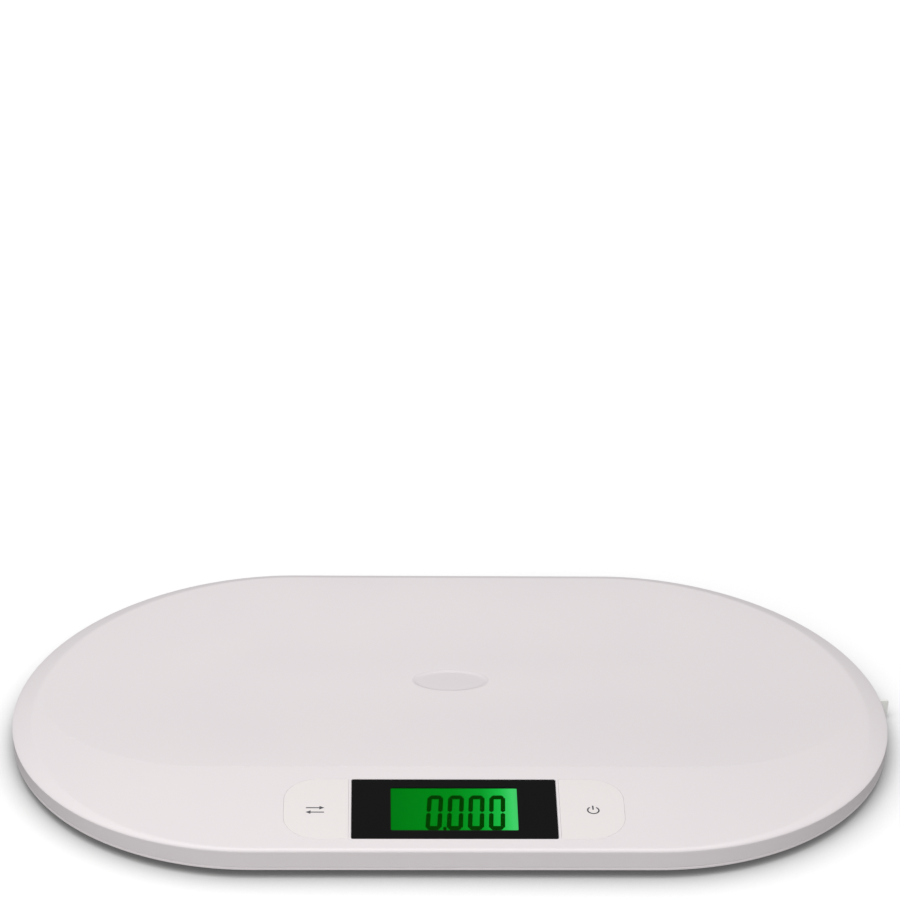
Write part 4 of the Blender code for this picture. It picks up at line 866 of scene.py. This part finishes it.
screws = [f"cover_screw_{number}" for number in range(1, 9)]
corners = [f"{row}_{side}" for row in ("front", "back") for side in ("left", "right")]
door_low, door_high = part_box("battery_door")
bay_low = Vector((door_low.x - GAP, 0, 0))
bay_high = Vector((door_high.x + GAP, 0, 0))
cell_front, cell_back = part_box("battery_cell_front"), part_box("battery_cell_back")
BAY_SIDE_ROOM = 0.0013
bay_low.y = cell_front[0].y - BAY_SIDE_ROOM
bay_high.y = cell_back[1].y + BAY_SIDE_ROOM
bay_ceiling = cell_front[1].z + GAP
button_middle = middle_of("tape_button")
brake_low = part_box("tape_brake")[0]
head_radius = (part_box(screws[0])[1].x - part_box(screws[0])[0].x) / 2
below = cover_low.z - OVERRUN
above_bottom = cover_low.z + JOIN
cup_radius = head_radius + GAP + CUP_WALL
cup_top = cover_low.z + CUP_RECESS + CUP_FLOOR
seat_radius = FOOT_WINDOW_RADIUS + FOOT_SEAT_WALL
seat_top = pan_top + FOOT_SEAT_HEIGHT

for screw in screws:
    at = middle_of(screw)
    add(cover, disc("cup", at.x, at.y, cup_radius, above_bottom, cup_top))
for corner in corners:
    at = middle_of(f"foot_cap_{corner}")
    add(cover, disc("seat", at.x, at.y, seat_radius, above_bottom, seat_top))
add(cover, block(
    "bay",
    (bay_low.x - BAY_WALL, bay_low.y - BAY_WALL, above_bottom),
    (bay_high.x + BAY_WALL, bay_high.y + BAY_WALL, bay_ceiling + BAY_WALL),
))
button_at = (button_middle.x, button_middle.y)
add(cover, disc("sleeve", *button_at, SLEEVE_BORE + SLEEVE_WALL, above_bottom, brake_low.z - GAP))
for screw in screws:
    at = middle_of(screw)
    carve(cover, disc("recess", at.x, at.y, head_radius + GAP, below, cover_low.z + CUP_RECESS))
    carve(cover, disc("hole", at.x, at.y, SCREW_HOLE_RADIUS, cover_low.z, cup_top + OVERRUN))
for corner in corners:
    at = middle_of(f"foot_cap_{corner}")
    carve(cover, disc("window", at.x, at.y, FOOT_WINDOW_RADIUS, below, seat_top + OVERRUN))
carve(cover, block("bay_room", (bay_low.x, bay_low.y, below), (bay_high.x, bay_high.y, bay_ceiling)))
bay_x = (bay_low.x + bay_high.x) / 2
tongue_places = [bay_x + side * TONGUE_SPREAD_SHARE * (bay_high.x - bay_low.x) for side in (-1, 1)]
for x in tongue_places:
    half = TONGUE_WIDTH / 2 + GAP
    carve(cover, block(
        "tongue_slot",
        (x - half, bay_high.y - OVERRUN, pan_top),
        (x + half, bay_high.y + BAY_WALL + OVERRUN, pan_top + TONGUE_SLOT_HEIGHT),
    ))
print("cover:", len(cover.data.polygons), "faces")

# %% Cut the button's ring, the latch notch and the tape's notch
LATCH_WIDTH = 0.016
button_radius = (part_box("tape_button")[1].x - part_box("tape_button")[0].x) / 2
BUTTON_FLANGE_LIP = 0.0008
button_face_radius = button_radius - BUTTON_FLANGE_LIP
carve(cover, disc("ring", *button_at, BUTTON_RING_RADIUS, below, cover_low.z + BUTTON_RING_DEPTH))
carve(cover, disc("bore", *button_at, SLEEVE_BORE, pan_top, brake_low.z + OVERRUN))
carve(cover, disc("button_hole", *button_at, button_face_radius + GAP, below, pan_top + JOIN))
carve(cover, block(
    "latch_notch",
    (bay_x - LATCH_WIDTH / 2 - GAP, door_low.y - GAP, below),
    (bay_x + LATCH_WIDTH / 2 + GAP, bay_low.y + OVERRUN, pan_top + GAP),
))
case_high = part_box("tape_case")[1]
carve(cover, block(
    "tape_notch",
    (case_high.x, slot_y - SLOT_WIDTH / 2, below),
    (half_length, slot_y + SLOT_WIDTH / 2, shell_low.z + COVER_WALL + OVERRUN),
))
hand_over(cover, abs_cover, "scale_body", ["bottom_cover"], degrees=20)

# %% [markdown]
# ## Window and display
# The window is a thin acrylic plate that lies flush in its pocket. It is black except for a
# clear rectangle. Below it, the display's glass glows, and its dark segments stand on it: four
# zeros with a point, which is what a scale shows with nothing on it.

# %% Window plate, lens and glass
WINDOW_CORNER = 0.0012
VIEW_CORNER = 0.0008
WINDOW_EDGE = 0.00012
LENS_GAP = 0.00005

window = tapered(plate("window_plate", window_low, window_high, WINDOW_CORNER))
carve(window, view_plate("view", 0, window_low.z - OVERRUN, window_high.z + OVERRUN, VIEW_CORNER))
hand_over(window, acrylic_print, "scale_body", ["display_window"])

lens_plate = view_plate("window_lens", -LENS_GAP, window_low.z, window_high.z - WINDOW_EDGE, VIEW_CORNER)
hand_over(lens_plate, acrylic_clear, "scale_body")

glass = plate("display_glass", lcd_low, lcd_high, VIEW_CORNER)
hand_over(glass, lcd_glow, "scale_body", ["lcd_glass"])

# %% Seven-segment zeros
DIGIT_PLACES = (-0.0113, 0.0007, 0.0126, 0.0245)
DIGIT_Y = -0.1250
DIGIT_WIDTH = 0.0092
DIGIT_HEIGHT = 0.0332
STROKE = 0.0026
FLAT_STROKE = 0.0038
SEGMENT_GAP = 0.00035
SEGMENT_POINT_SHARE = 0.46
POINT_WIDTH = 0.0018
POINT_DEPTH = 0.0030
POINT_X = -0.0055
INK_HEIGHT = 0.00005
DIGIT_SLANT = math.radians(2.5)
ink_bottom = lcd_high.z - INK_HEIGHT / 2
ink_top = lcd_high.z + INK_HEIGHT


def segment(x, y, length, flat):
    """A bar with pointed ends, lying along X if flat and along Y if not."""
    across, along = (length, FLAT_STROKE) if flat else (STROKE, length)
    obj = bar("segment", x, y, across, along, ink_bottom, ink_top)
    with editing(obj):
        pick(obj, "EDGE", upright)
        bpy.ops.mesh.bevel(offset=STROKE * SEGMENT_POINT_SHARE, segments=1, affect="EDGES")
    return obj


def zero(name, x):
    """Six segments round the figure's sides, with the middle one off."""
    side = DIGIT_WIDTH / 2 - STROKE / 2
    end = DIGIT_HEIGHT / 2 - FLAT_STROKE / 2
    flat = DIGIT_WIDTH - STROKE - 2 * SEGMENT_GAP
    tall = DIGIT_HEIGHT / 2 - STROKE / 2 - 2 * SEGMENT_GAP
    parts = [segment(0, y, flat + STROKE * 0.5, True) for y in (-end, end)]
    up = tall / 2 + SEGMENT_GAP
    parts += [segment(sx * side, sy * up, tall, False) for sx in (-1, 1) for sy in (-1, 1)]
    digit = merge(name, parts)
    lean = Matrix.Identity(4)
    lean[0][1] = math.tan(DIGIT_SLANT)
    digit.data.transform(Matrix.Translation((x, DIGIT_Y, 0)) @ lean)
    return digit


first = zero("display_digit_1", DIGIT_PLACES[0])
digits = [first]
for number, x in enumerate(DIGIT_PLACES[1:], 2):
    digits.append(copy_as(f"display_digit_{number}", first, (x - DIGIT_PLACES[0], 0, 0)))
half = POINT_WIDTH / 2
point_y = DIGIT_Y - DIGIT_HEIGHT / 2
digits.append(plate(
    "display_point",
    (POINT_X - half, point_y, ink_bottom),
    (POINT_X + half, point_y + POINT_DEPTH, ink_top),
    half / 2,
))
for digit in digits:
    hand_over(digit, lcd_ink, "scale_body")

# %% [markdown]
# ## Keys
# Each key is a half-moon cap beside the window, nearly flush with the tray, so that only a
# hairline shows round it. Its skirt below the shell keeps it in. A printed sign stands on it:
# a ring with a stroke for on and off, and two arrows for changing the unit.

# %% Key caps
KEY_EDGE = 0.0001
KEY_GAP = 0.00008
KEY_FLANGE_THICKNESS = 0.0009
KEY_BOSS_RADIUS = 0.003
SIGN_THICKNESS = 0.00004
for node, side in (("tare_key", 1), ("unit_key", -1)):
    low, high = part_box(node)
    top_of_flange = shell_under - GAP
    flange_bottom = top_of_flange - KEY_FLANGE_THICKNESS
    cap = key_block(f"{node}_cap", side, GAP - KEY_GAP, top_of_flange - JOIN, high.z - SIGN_THICKNESS)
    soften(cap, KEY_EDGE, 3)
    add(cap, key_block("flange", side, KEY_FLANGE_LIP, flange_bottom, top_of_flange))
    at = (low + high) / 2
    add(cap, disc("boss", at.x, at.y, KEY_BOSS_RADIUS, low.z, flange_bottom + JOIN))
    hand_over(cap, abs_key, node, [node])

# %% Printed signs on the keys
SIGN_Y = -0.1256
POWER_RADIUS = 0.0032
POWER_STROKE = 0.0009
POWER_OPEN = math.radians(70)
POWER_BAR_FROM, POWER_BAR_TO = 0.15, 1.35
SIGN_SINK = 1.25
ARROW_LENGTH = 0.0105
ARROW_PITCH = 0.0042
ARROW_STROKE = 0.0009
ARROW_HEAD = 0.0019
sign_top = key_high.z
sign_bottom = sign_top - SIGN_SINK * SIGN_THICKNESS
tare_x = middle_of("tare_key").x
unit_x = middle_of("unit_key").x

ring = arc_bar(
    "power_ring", tare_x, SIGN_Y, POWER_RADIUS, POWER_STROKE,
    math.pi / 2 + POWER_OPEN / 2, math.tau - POWER_OPEN, sign_bottom, sign_top, steps=48,
)
stroke = block(
    "power_bar",
    (tare_x - POWER_STROKE / 2, SIGN_Y + POWER_RADIUS * POWER_BAR_FROM, sign_bottom),
    (tare_x + POWER_STROKE / 2, SIGN_Y + POWER_RADIUS * POWER_BAR_TO, sign_top),
)
hand_over(merge("power_sign", [ring, stroke]), legend_ink, "tare_key")


def arrow(x, y, towards):
    shaft = block(
        "shaft",
        (x - ARROW_LENGTH / 2, y - ARROW_STROKE / 2, sign_bottom),
        (x + ARROW_LENGTH / 2 - ARROW_HEAD, y + ARROW_STROKE / 2, sign_top),
    )
    head = disc("head", 0, 0, ARROW_HEAD, sign_bottom, sign_top, steps=3)
    head.data.transform(Matrix.Rotation(math.radians(-90), 4, "Z"))
    head.data.transform(Matrix.Translation((x + ARROW_LENGTH / 2 - ARROW_HEAD, y, 0)))
    made = add(shaft, head)
    if towards < 0:
        at = Matrix.Translation((x, y, 0))
        made.data.transform(at @ Matrix.Rotation(math.pi, 4, "Z") @ at.inverted())
    return made


arrows = [arrow(unit_x, SIGN_Y + ARROW_PITCH / 2, 1), arrow(unit_x, SIGN_Y - ARROW_PITCH / 2, -1)]
hand_over(merge("unit_sign", arrows), legend_ink, "unit_key")

# %% [markdown]
# ## Feet
# A foot is a grey plastic cup that hangs on the tongue of its load cell, with a ribbed rubber
# pad pressed into it. Both are turned shapes, so each profile is spun once and copied.

# %% Turn the feet
CUP_EDGE = 0.0003
FOOT_RIM = 0.0017
HUB_RADIUS = 0.005
PAD_GROOVES = (0.0030, 0.0055, 0.0080)
GROOVE_WIDTH = 0.0007
GROOVE_DEPTH = 0.0003
PAD_EDGE = 0.0004
FOOT_DISC_HEIGHT = 0.0026
ROUND_SHARE = 0.3
foot_at = middle_of("foot_cap_front_right")
foot_low, foot_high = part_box("foot_cap_front_right")
pad_low, pad_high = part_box("foot_pad_front_right")
foot_radius = (foot_high.x - foot_low.x) / 2
pad_radius = (pad_high.x - pad_low.x) / 2
recess_z = pad_high.z + GAP
disc_top = foot_low.z + FOOT_DISC_HEIGHT

cap_profile = [
    (0, foot_high.z),
    (HUB_RADIUS - CUP_EDGE, foot_high.z),
    (HUB_RADIUS, foot_high.z - CUP_EDGE),
    (HUB_RADIUS, disc_top),
    (foot_radius - CUP_EDGE, disc_top),
    (foot_radius, disc_top - CUP_EDGE),
    (foot_radius, foot_low.z + CUP_EDGE),
    (foot_radius - CUP_EDGE, foot_low.z),
    (foot_radius - FOOT_RIM, foot_low.z),
    (foot_radius - FOOT_RIM, recess_z),
    (0, recess_z),
]
pad_profile = [(0, pad_high.z), (pad_radius, pad_high.z), (pad_radius, PAD_EDGE)]
pad_profile += [(pad_radius - PAD_EDGE * ROUND_SHARE, PAD_EDGE * ROUND_SHARE), (pad_radius - PAD_EDGE, 0)]
for radius in reversed(PAD_GROOVES):
    half = GROOVE_WIDTH / 2
    pad_profile += [(radius + half, 0), (radius + half, GROOVE_DEPTH)]
    pad_profile += [(radius - half, GROOVE_DEPTH), (radius - half, 0)]
pad_profile += [(0, 0)]

first_cap = turned("foot_cup_front_right", foot_at.x, foot_at.y, cap_profile)
first_pad = turned("rubber_pad_front_right", foot_at.x, foot_at.y, pad_profile)
for corner in corners:
    offset = middle_of(f"foot_cap_{corner}") - foot_at
    if corner == "front_right":
        cup, pad = first_cap, first_pad
    else:
        cup = copy_as(f"foot_cup_{corner}", first_cap, offset)
        pad = copy_as(f"rubber_pad_{corner}", first_pad, offset)
    hand_over(cup, pp_foot, "scale_body", [f"foot_cap_{corner}"])
    hand_over(pad, tpe_pad, "scale_body", [f"foot_pad_{corner}"])

# %% [markdown]
# ## Cover screws
# Eight self-tapping screws with a cross recess hold the cover. The head is turned with a round
# edge, and two crossed slots are cut into it. One screw is modelled and copied to its places.

# %% Make the screws
SCREW_RADIUS = 0.0012
SCREW_TIP = 0.0012
SCREW_TIP_SHARE = 0.3
HEAD_EDGE = 0.0005
CROSS_LENGTH = 0.0031
CROSS_WIDTH = 0.0007
CROSS_DEPTH = 0.0009
THREAD_PITCH = 0.0009
THREAD_DEPTH = 0.00025
screw_low, screw_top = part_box(screws[0])
screw_at = middle_of(screws[0])
head_top = cover_low.z + CUP_RECESS - GAP
profile = [(0, screw_top.z), (SCREW_RADIUS * SCREW_TIP_SHARE, screw_top.z)]
ring_z = screw_top.z - SCREW_TIP
while ring_z > head_top + THREAD_PITCH:
    profile += [(SCREW_RADIUS - THREAD_DEPTH, ring_z), (SCREW_RADIUS, ring_z - THREAD_PITCH / 2)]
    ring_z -= THREAD_PITCH
profile += [
    (SCREW_RADIUS - THREAD_DEPTH, head_top),
    (head_radius, head_top),
    (head_radius, screw_low.z + HEAD_EDGE),
    (head_radius - HEAD_EDGE * ROUND_SHARE, screw_low.z + HEAD_EDGE * ROUND_SHARE),
    (head_radius - HEAD_EDGE, screw_low.z),
    (0, screw_low.z),
]
first_screw = turned("screw_1", screw_at.x, screw_at.y, profile, steps=32)
for across, along in ((CROSS_LENGTH, CROSS_WIDTH), (CROSS_WIDTH, CROSS_LENGTH)):
    bottom, top = screw_low.z - OVERRUN, screw_low.z + CROSS_DEPTH
    carve(first_screw, bar("cross", screw_at.x, screw_at.y, across, along, bottom, top))
for number, node in enumerate(screws, 1):
    piece = first_screw
    if number > 1:
        piece = copy_as(f"screw_{number}", first_screw, middle_of(node) - screw_at)
    hand_over(piece, zinc, "scale_body", [node])

# %% [markdown]
# ## Battery door and cells
# The door is a thin plate with a spring tab at its front and two tongues at its back, on which
# it tilts. Ridges give the thumb a hold. Behind it lie two AAA cells with blue sleeves.

# %% Battery door
DOOR_THICKNESS = 0.0014
DOOR_EDGE = 0.0002
DOOR_CORNER = 0.0008
RIDGE_COUNT = 5
RIDGE_PITCH = 0.0017
RIDGE_RADIUS = 0.0004
RIDGE_LENGTH = 0.012
LATCH_REACH = 0.0027
door_front = door_low.y + LATCH_REACH + GAP
door_back = bay_high.y - GAP
door_top = door_low.z + DOOR_THICKNESS
door = plate(
    "battery_lid", (door_low.x, door_front, door_low.z), (door_high.x, door_back, door_top), DOOR_CORNER
)
add(door, plate(
    "latch",
    (bay_x - LATCH_WIDTH / 2, door_low.y, door_low.z),
    (bay_x + LATCH_WIDTH / 2, door_front + LATCH_REACH, door_top),
    DOOR_CORNER,
))
soften(door, DOOR_EDGE)
TONGUE_ROOT = 0.0023
TONGUE_THICKNESS = 0.001
for x in tongue_places:
    add(door, block(
        "root",
        (x - TONGUE_WIDTH / 2, door_back - TONGUE_ROOT, door_top - JOIN),
        (x + TONGUE_WIDTH / 2, door_back - JOIN / 2, door_high.z),
    ))
    add(door, block(
        "tongue",
        (x - TONGUE_WIDTH / 2, door_back - TONGUE_ROOT / 2, door_high.z - TONGUE_THICKNESS),
        (x + TONGUE_WIDTH / 2, door_high.y, door_high.z),
    ))
for row in range(RIDGE_COUNT):
    y = door_front + LATCH_REACH + row * RIDGE_PITCH
    bpy.ops.mesh.primitive_cylinder_add(
        vertices=16, radius=RIDGE_RADIUS, depth=RIDGE_LENGTH,
        location=(bay_x, y, door_low.z), rotation=(0, math.pi / 2, 0),
    )
    add(door, settle(bpy.context.object, "ridge"))
hand_over(door, abs_cover, "battery_door", ["battery_door"])

# %% Battery cells
NUB_LENGTH = 0.0009
NUB_RADIUS = 0.0019
SHOULDER = 0.0004
BAND_START_SHARE = 0.74
BAND_END_SHARE = 0.80
BARE_END_SHARE = 0.88
first_low, first_high = cell_front
length = first_high.x - first_low.x
cell_radius = (first_high.z - first_low.z) / 2
profile = [
    (0, length / 2),
    (NUB_RADIUS - SHOULDER / 2, length / 2),
    (NUB_RADIUS, length / 2 - SHOULDER / 2),
    (NUB_RADIUS, length / 2 - NUB_LENGTH),
    (cell_radius - 2 * SHOULDER, length / 2 - NUB_LENGTH),
    (cell_radius - SHOULDER / 2, length / 2 - NUB_LENGTH - SHOULDER / 4),
    (cell_radius, length / 2 - NUB_LENGTH - SHOULDER),
    (cell_radius, length * (BAND_END_SHARE - 0.5)),
    (cell_radius, length * (BAND_START_SHARE - 0.5)),
    (cell_radius, SHOULDER - length / 2),
    (cell_radius - SHOULDER / 2, SHOULDER / 4 - length / 2),
    (cell_radius - 2 * SHOULDER, -length / 2),
    (0, -length / 2),
]
for node, turn in (("battery_cell_front", 1), ("battery_cell_back", -1)):
    cell = turned(node.replace("cell", "aaa"), 0, 0, profile, steps=48)
    for finish in (cell_sleeve, sleeve_band, nickel):
        cell.data.materials.append(finish)
    for face in cell.data.polygons:
        share = face.center.z / length + 0.5
        out = math.hypot(face.center.x, face.center.y)
        if out < cell_radius * BARE_END_SHARE or abs(face.center.z) > length / 2 - NUB_LENGTH:
            face.material_index = 2
        elif BAND_START_SHARE < share < BAND_END_SHARE:
            face.material_index = 1
    cell.rotation_euler = (0, turn * math.pi / 2, 0)
    cell.location = middle_of(node)
    settle(cell, cell.name)
    hand_over(cell, None, "scale_body", [node])

# %% [markdown]
# ## Tape button and its frame
# The button that lets the tape run back is a low dome inside a dished ring. Beside it, a raised
# arc of small bars marks its place for the fingers.

# %% Tape button and raised marks
DOME = 0.0004
DOME_STEPS = 6
MARK_RADIUS = 0.0125
MARK_WIDTH = 0.0012
MARK_SWEEP = math.radians(16)
MARK_GAP = math.radians(7)
MARK_COUNT = 5
MARK_HEIGHT = 0.0003
button_low, button_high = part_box("tape_button")
BUTTON_STEM = 0.002
BUTTON_FLANGE_THICKNESS = 0.0008
flange_bottom = pan_top + GAP
flange_top = flange_bottom + BUTTON_FLANGE_THICKNESS
profile = [
    (0, button_high.z),
    (BUTTON_STEM, button_high.z),
    (BUTTON_STEM, flange_top),
    (button_radius, flange_top),
    (button_radius, flange_bottom),
    (button_face_radius, flange_bottom),
]
for step in range(DOME_STEPS):
    a = math.pi / 2 * step / DOME_STEPS
    profile.append((button_face_radius * math.cos(a), button_low.z + DOME * (1 - math.sin(a))))
profile.append((0, button_low.z))
button = turned("tape_button_dome", *button_at, profile)
hand_over(button, abs_key, "tape_button", ["tape_button"])

marks = []
for number in range(MARK_COUNT):
    start = math.radians(180) + (number - (MARK_COUNT - 1) / 2) * (MARK_SWEEP + MARK_GAP) - MARK_SWEEP / 2
    marks.append(arc_bar(
        "mark", *button_at, MARK_RADIUS, MARK_WIDTH, start, MARK_SWEEP,
        cover_low.z - MARK_HEIGHT, cover_low.z + MARK_HEIGHT, steps=8,
    ))
hand_over(merge("tape_marks", marks), abs_cover, "scale_body")

# %% Coil spring behind the button
COIL_RADIUS = 0.0052
COIL_WIRE = 0.0003
COIL_TURNS = 2.25
COIL_STEPS = 90
spring_low, spring_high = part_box("tape_button_spring")
bpy.ops.mesh.primitive_circle_add(
    vertices=10, radius=COIL_WIRE, location=(COIL_RADIUS, 0, 0), rotation=(math.pi / 2, 0, 0)
)
coil = settle(bpy.context.object, "button_coil")
apply(
    coil, "SCREW", angle=math.tau * COIL_TURNS, screw_offset=spring_high.z - spring_low.z - 2 * COIL_WIRE,
    steps=COIL_STEPS, render_steps=COIL_STEPS, use_smooth_shade=True,
)
with editing(coil):
    bpy.ops.mesh.select_all(action="SELECT")
    bpy.ops.mesh.fill_holes(sides=0)
    bpy.ops.mesh.normals_make_consistent(inside=False)
coil.data.transform(Matrix.Translation((*button_at, spring_low.z + COIL_WIRE)))
coil.data.materials.append(nickel)
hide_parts("tape_button_spring")
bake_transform(coil)
print("coil:", len(coil.data.polygons), "faces")

# %% [markdown]
# ## The tape's end
# A T-shaped tab keeps the tape from running inside. The strip behind it is modelled between the
# reel and the tab, and cut many times along its length. Its ticks follow the object's own
# coordinates.

# %% Tab and strip
TAB_CORNER = 0.001
TAB_EDGE = 0.0003
NECK_THICKNESS = 0.001
STRIP_CUTS = 60
tab_low, tab_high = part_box("tape_end_tab")
neck_right = half_length + GAP
tab = block("tape_tab", (neck_right, tab_low.y, tab_low.z), tab_high)
with editing(tab):
    pick(tab, "EDGE", lambda e: abs(e.verts[0].co.y - e.verts[1].co.y) > (tab_high.y - tab_low.y) / 2)
    bpy.ops.mesh.bevel(offset=TAB_CORNER, segments=6, affect="EDGES")
soften(tab, TAB_EDGE)
add(tab, block(
    "neck",
    (tab_low.x, slot_y - NECK_THICKNESS / 2, strip_low.z),
    (neck_right + JOIN, slot_y + NECK_THICKNESS / 2, strip_high.z),
))
hand_over(tab, pom_reel, "tape_end", ["tape_end_tab"])

strip = block("tape_band", strip_low, strip_high)
half = (strip_high.x - strip_low.x) / 2
with editing(strip):
    pick(strip, "EDGE", lambda e: abs(e.verts[0].co.x - e.verts[1].co.x) > half)
    bpy.ops.mesh.subdivide(number_cuts=STRIP_CUTS)
strip.data.materials.append(tape_vinyl)
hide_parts("tape_strip")
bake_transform(strip)
print("tape strip:", len(strip.data.polygons), "faces")

# %% [markdown]
# ## The pieces that stay as the CAD made them
# The board, the load cells, the reel and the leads lie inside. Their CAD shapes are right, so
# they only get the finish of the real material.

# %% Finish the inner pieces
LEADS = " ".join(f"load_cell_lead_{corner}" for corner in corners)
LOAD_CELLS = " ".join(f"load_cell_{corner}" for corner in corners)
INNER_FINISHES = (
    (board_mask, "main_board"),
    (epoxy, "controller_chip converter_chip tare_switch unit_switch tape_brake"),
    (holder_plastic, "tare_switch_stem unit_switch_stem lcd_holder"),
    (light_guide, "backlight_panel"),
    (pom_reel, "tape_case tape_drum"),
    (tape_vinyl, "tape_pack"),
    (nickel, "tape_return_spring battery_bridge battery_plus_contact battery_minus_contact"),
    (cell_steel, LOAD_CELLS),
    (lead_skin, "battery_lead " + LEADS),
)
finished = set()
for finish, names in INNER_FINISHES:
    finished.update(names.split())
    for name in names.split():
        for material_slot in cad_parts[name].material_slots:
            material_slot.material = finish
kept = {name for name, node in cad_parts.items() if not node.hide_render}
print(len(kept), "CAD pieces kept;", sorted(kept - finished), "left without a finish")

# %% [markdown]
# ## Floor, light and background
# The photograph is a product shot on white: a large soft light above and in front, to the
# left, a soft shadow that hugs the tray, and no horizon. The floor is white where the camera
# sees it and greyer for the light that it throws back, as a floor of limited size would be.
# Its shadow is deepened near the tray by how much of the sky the tray hides. From below the
# floor is clear, so that a view from there shows the underside.

# %% Floor
FLOOR_SIZE = 16.0
FLOOR_BOUNCE = "A4A4A4"
SHADOW_REACH = 0.105
SHADOW_POWER = 1.1
FLOOR_WHITE = "FAFAFA"
PAINTED_FLOOR_GLOW = 0.09
PAINTED_FLOOR_GLOW_FAR = 0.7
PAINTED_GLOW_FROM, PAINTED_GLOW_TO = 0.30, 0.9
bpy.ops.mesh.primitive_plane_add(size=FLOOR_SIZE)
floor = settle(bpy.context.object, "studio_floor")
floor_paint, tree, shader, place = start_material(
    "white_studio_floor", Roughness=0.9, Specular_IOR_Level=0.0,
)
path = add_node(tree, "LightPath")
hidden = add_node(tree, "AmbientOcclusion", {"Distance": SHADOW_REACH}, samples=16)
depth = add_node(tree, "Math", {0: hidden.outputs["AO"], 1: SHADOW_POWER}, operation="POWER")
white = add_node(tree, "MixRGB", {
    "Fac": depth.outputs[0], "Color1": linear("000000"), "Color2": linear(FLOOR_WHITE),
})
mix = add_node(tree, "MixRGB", {
    "Fac": path.outputs["Is Camera Ray"], "Color1": linear(FLOOR_BOUNCE), "Color2": white.outputs["Color"],
})
tree.links.new(mix.outputs["Color"], shader.inputs["Base Color"])
# Painted light: for the camera the floor also glows, faintly near the tray, which lifts its shadow there,
# and more strongly further away, so that the far floor is evenly white.
away = add_node(tree, "VectorMath", {0: place}, operation="LENGTH")
rise = add_node(tree, "MapRange", {
    "Value": away.outputs["Value"], "From Min": PAINTED_GLOW_FROM, "From Max": PAINTED_GLOW_TO,
    "To Min": PAINTED_FLOOR_GLOW, "To Max": PAINTED_FLOOR_GLOW_FAR,
})
painted_glow = add_node(tree, "Math", {
    0: path.outputs["Is Camera Ray"], 1: rise.outputs["Result"],
}, operation="MULTIPLY")
shader.inputs["Emission Color"].default_value = linear("FFFFFF")
tree.links.new(painted_glow.outputs[0], shader.inputs["Emission Strength"])
side = add_node(tree, "NewGeometry")
seen_through = add_node(tree, "Math", {
    0: path.outputs["Transparent Depth"], 1: 0.5,
}, operation="GREATER_THAN")
below = add_node(tree, "Math", {
    0: side.outputs["Backfacing"], 1: seen_through.outputs[0],
}, operation="MAXIMUM")
clear = add_node(tree, "BsdfTransparent")
surface = add_node(tree, "MixShader", {
    "Fac": below.outputs[0], 1: shader.outputs["BSDF"], 2: clear.outputs["BSDF"],
})
tree.links.new(surface.outputs[0], tree.nodes["Material Output"].inputs["Surface"])
floor.data.materials.append(floor_paint)

# %% Lamps and world
KEY_STRENGTH = 1.52
KEY_ANGLE = math.radians(60)
KEY_FROM = Vector((0.0, -0.60, 1.0))
SOFTBOX_SIZE = 0.7
SOFTBOX_FROM = Vector((-0.15, -0.45, 0.95))
SOFTBOX_POWER = 5.6
FILL_STRENGTH = 0.28


def lamp(name, kind, place, energy, **settings):
    """A lamp that stands at a place and shines on the tray's middle."""
    made = bpy.data.objects.new(name, bpy.data.lights.new(name, kind))
    made.data.energy = energy
    for setting, value in settings.items():
        setattr(made.data, setting, value)
    made.location = place
    made.rotation_mode = "QUATERNION"
    made.rotation_quaternion = place.to_track_quat("Z", "Y")
    bpy.context.scene.collection.objects.link(made)


lamp("key_light", "SUN", KEY_FROM, KEY_STRENGTH, angle=KEY_ANGLE)
lamp("softbox", "AREA", SOFTBOX_FROM, SOFTBOX_POWER, size=SOFTBOX_SIZE)

world = bpy.data.worlds.new("white_studio")
bpy.context.scene.world = world
world.use_nodes = True
tree = world.node_tree
tree.nodes.clear()
path = add_node(tree, "LightPath")
fill = add_node(tree, "Background", {"Color": linear("FFFFFF"), "Strength": FILL_STRENGTH})
backdrop = add_node(tree, "Background", {"Color": linear("FFFFFF"), "Strength": 1.0})
both = add_node(tree, "MixShader", {
    "Fac": path.outputs["Is Camera Ray"], 1: fill.outputs[0], 2: backdrop.outputs[0],
})
add_node(tree, "OutputWorld", {"Surface": both.outputs[0]})
bpy.context.scene.view_settings.view_transform = "Standard"
print("lit")
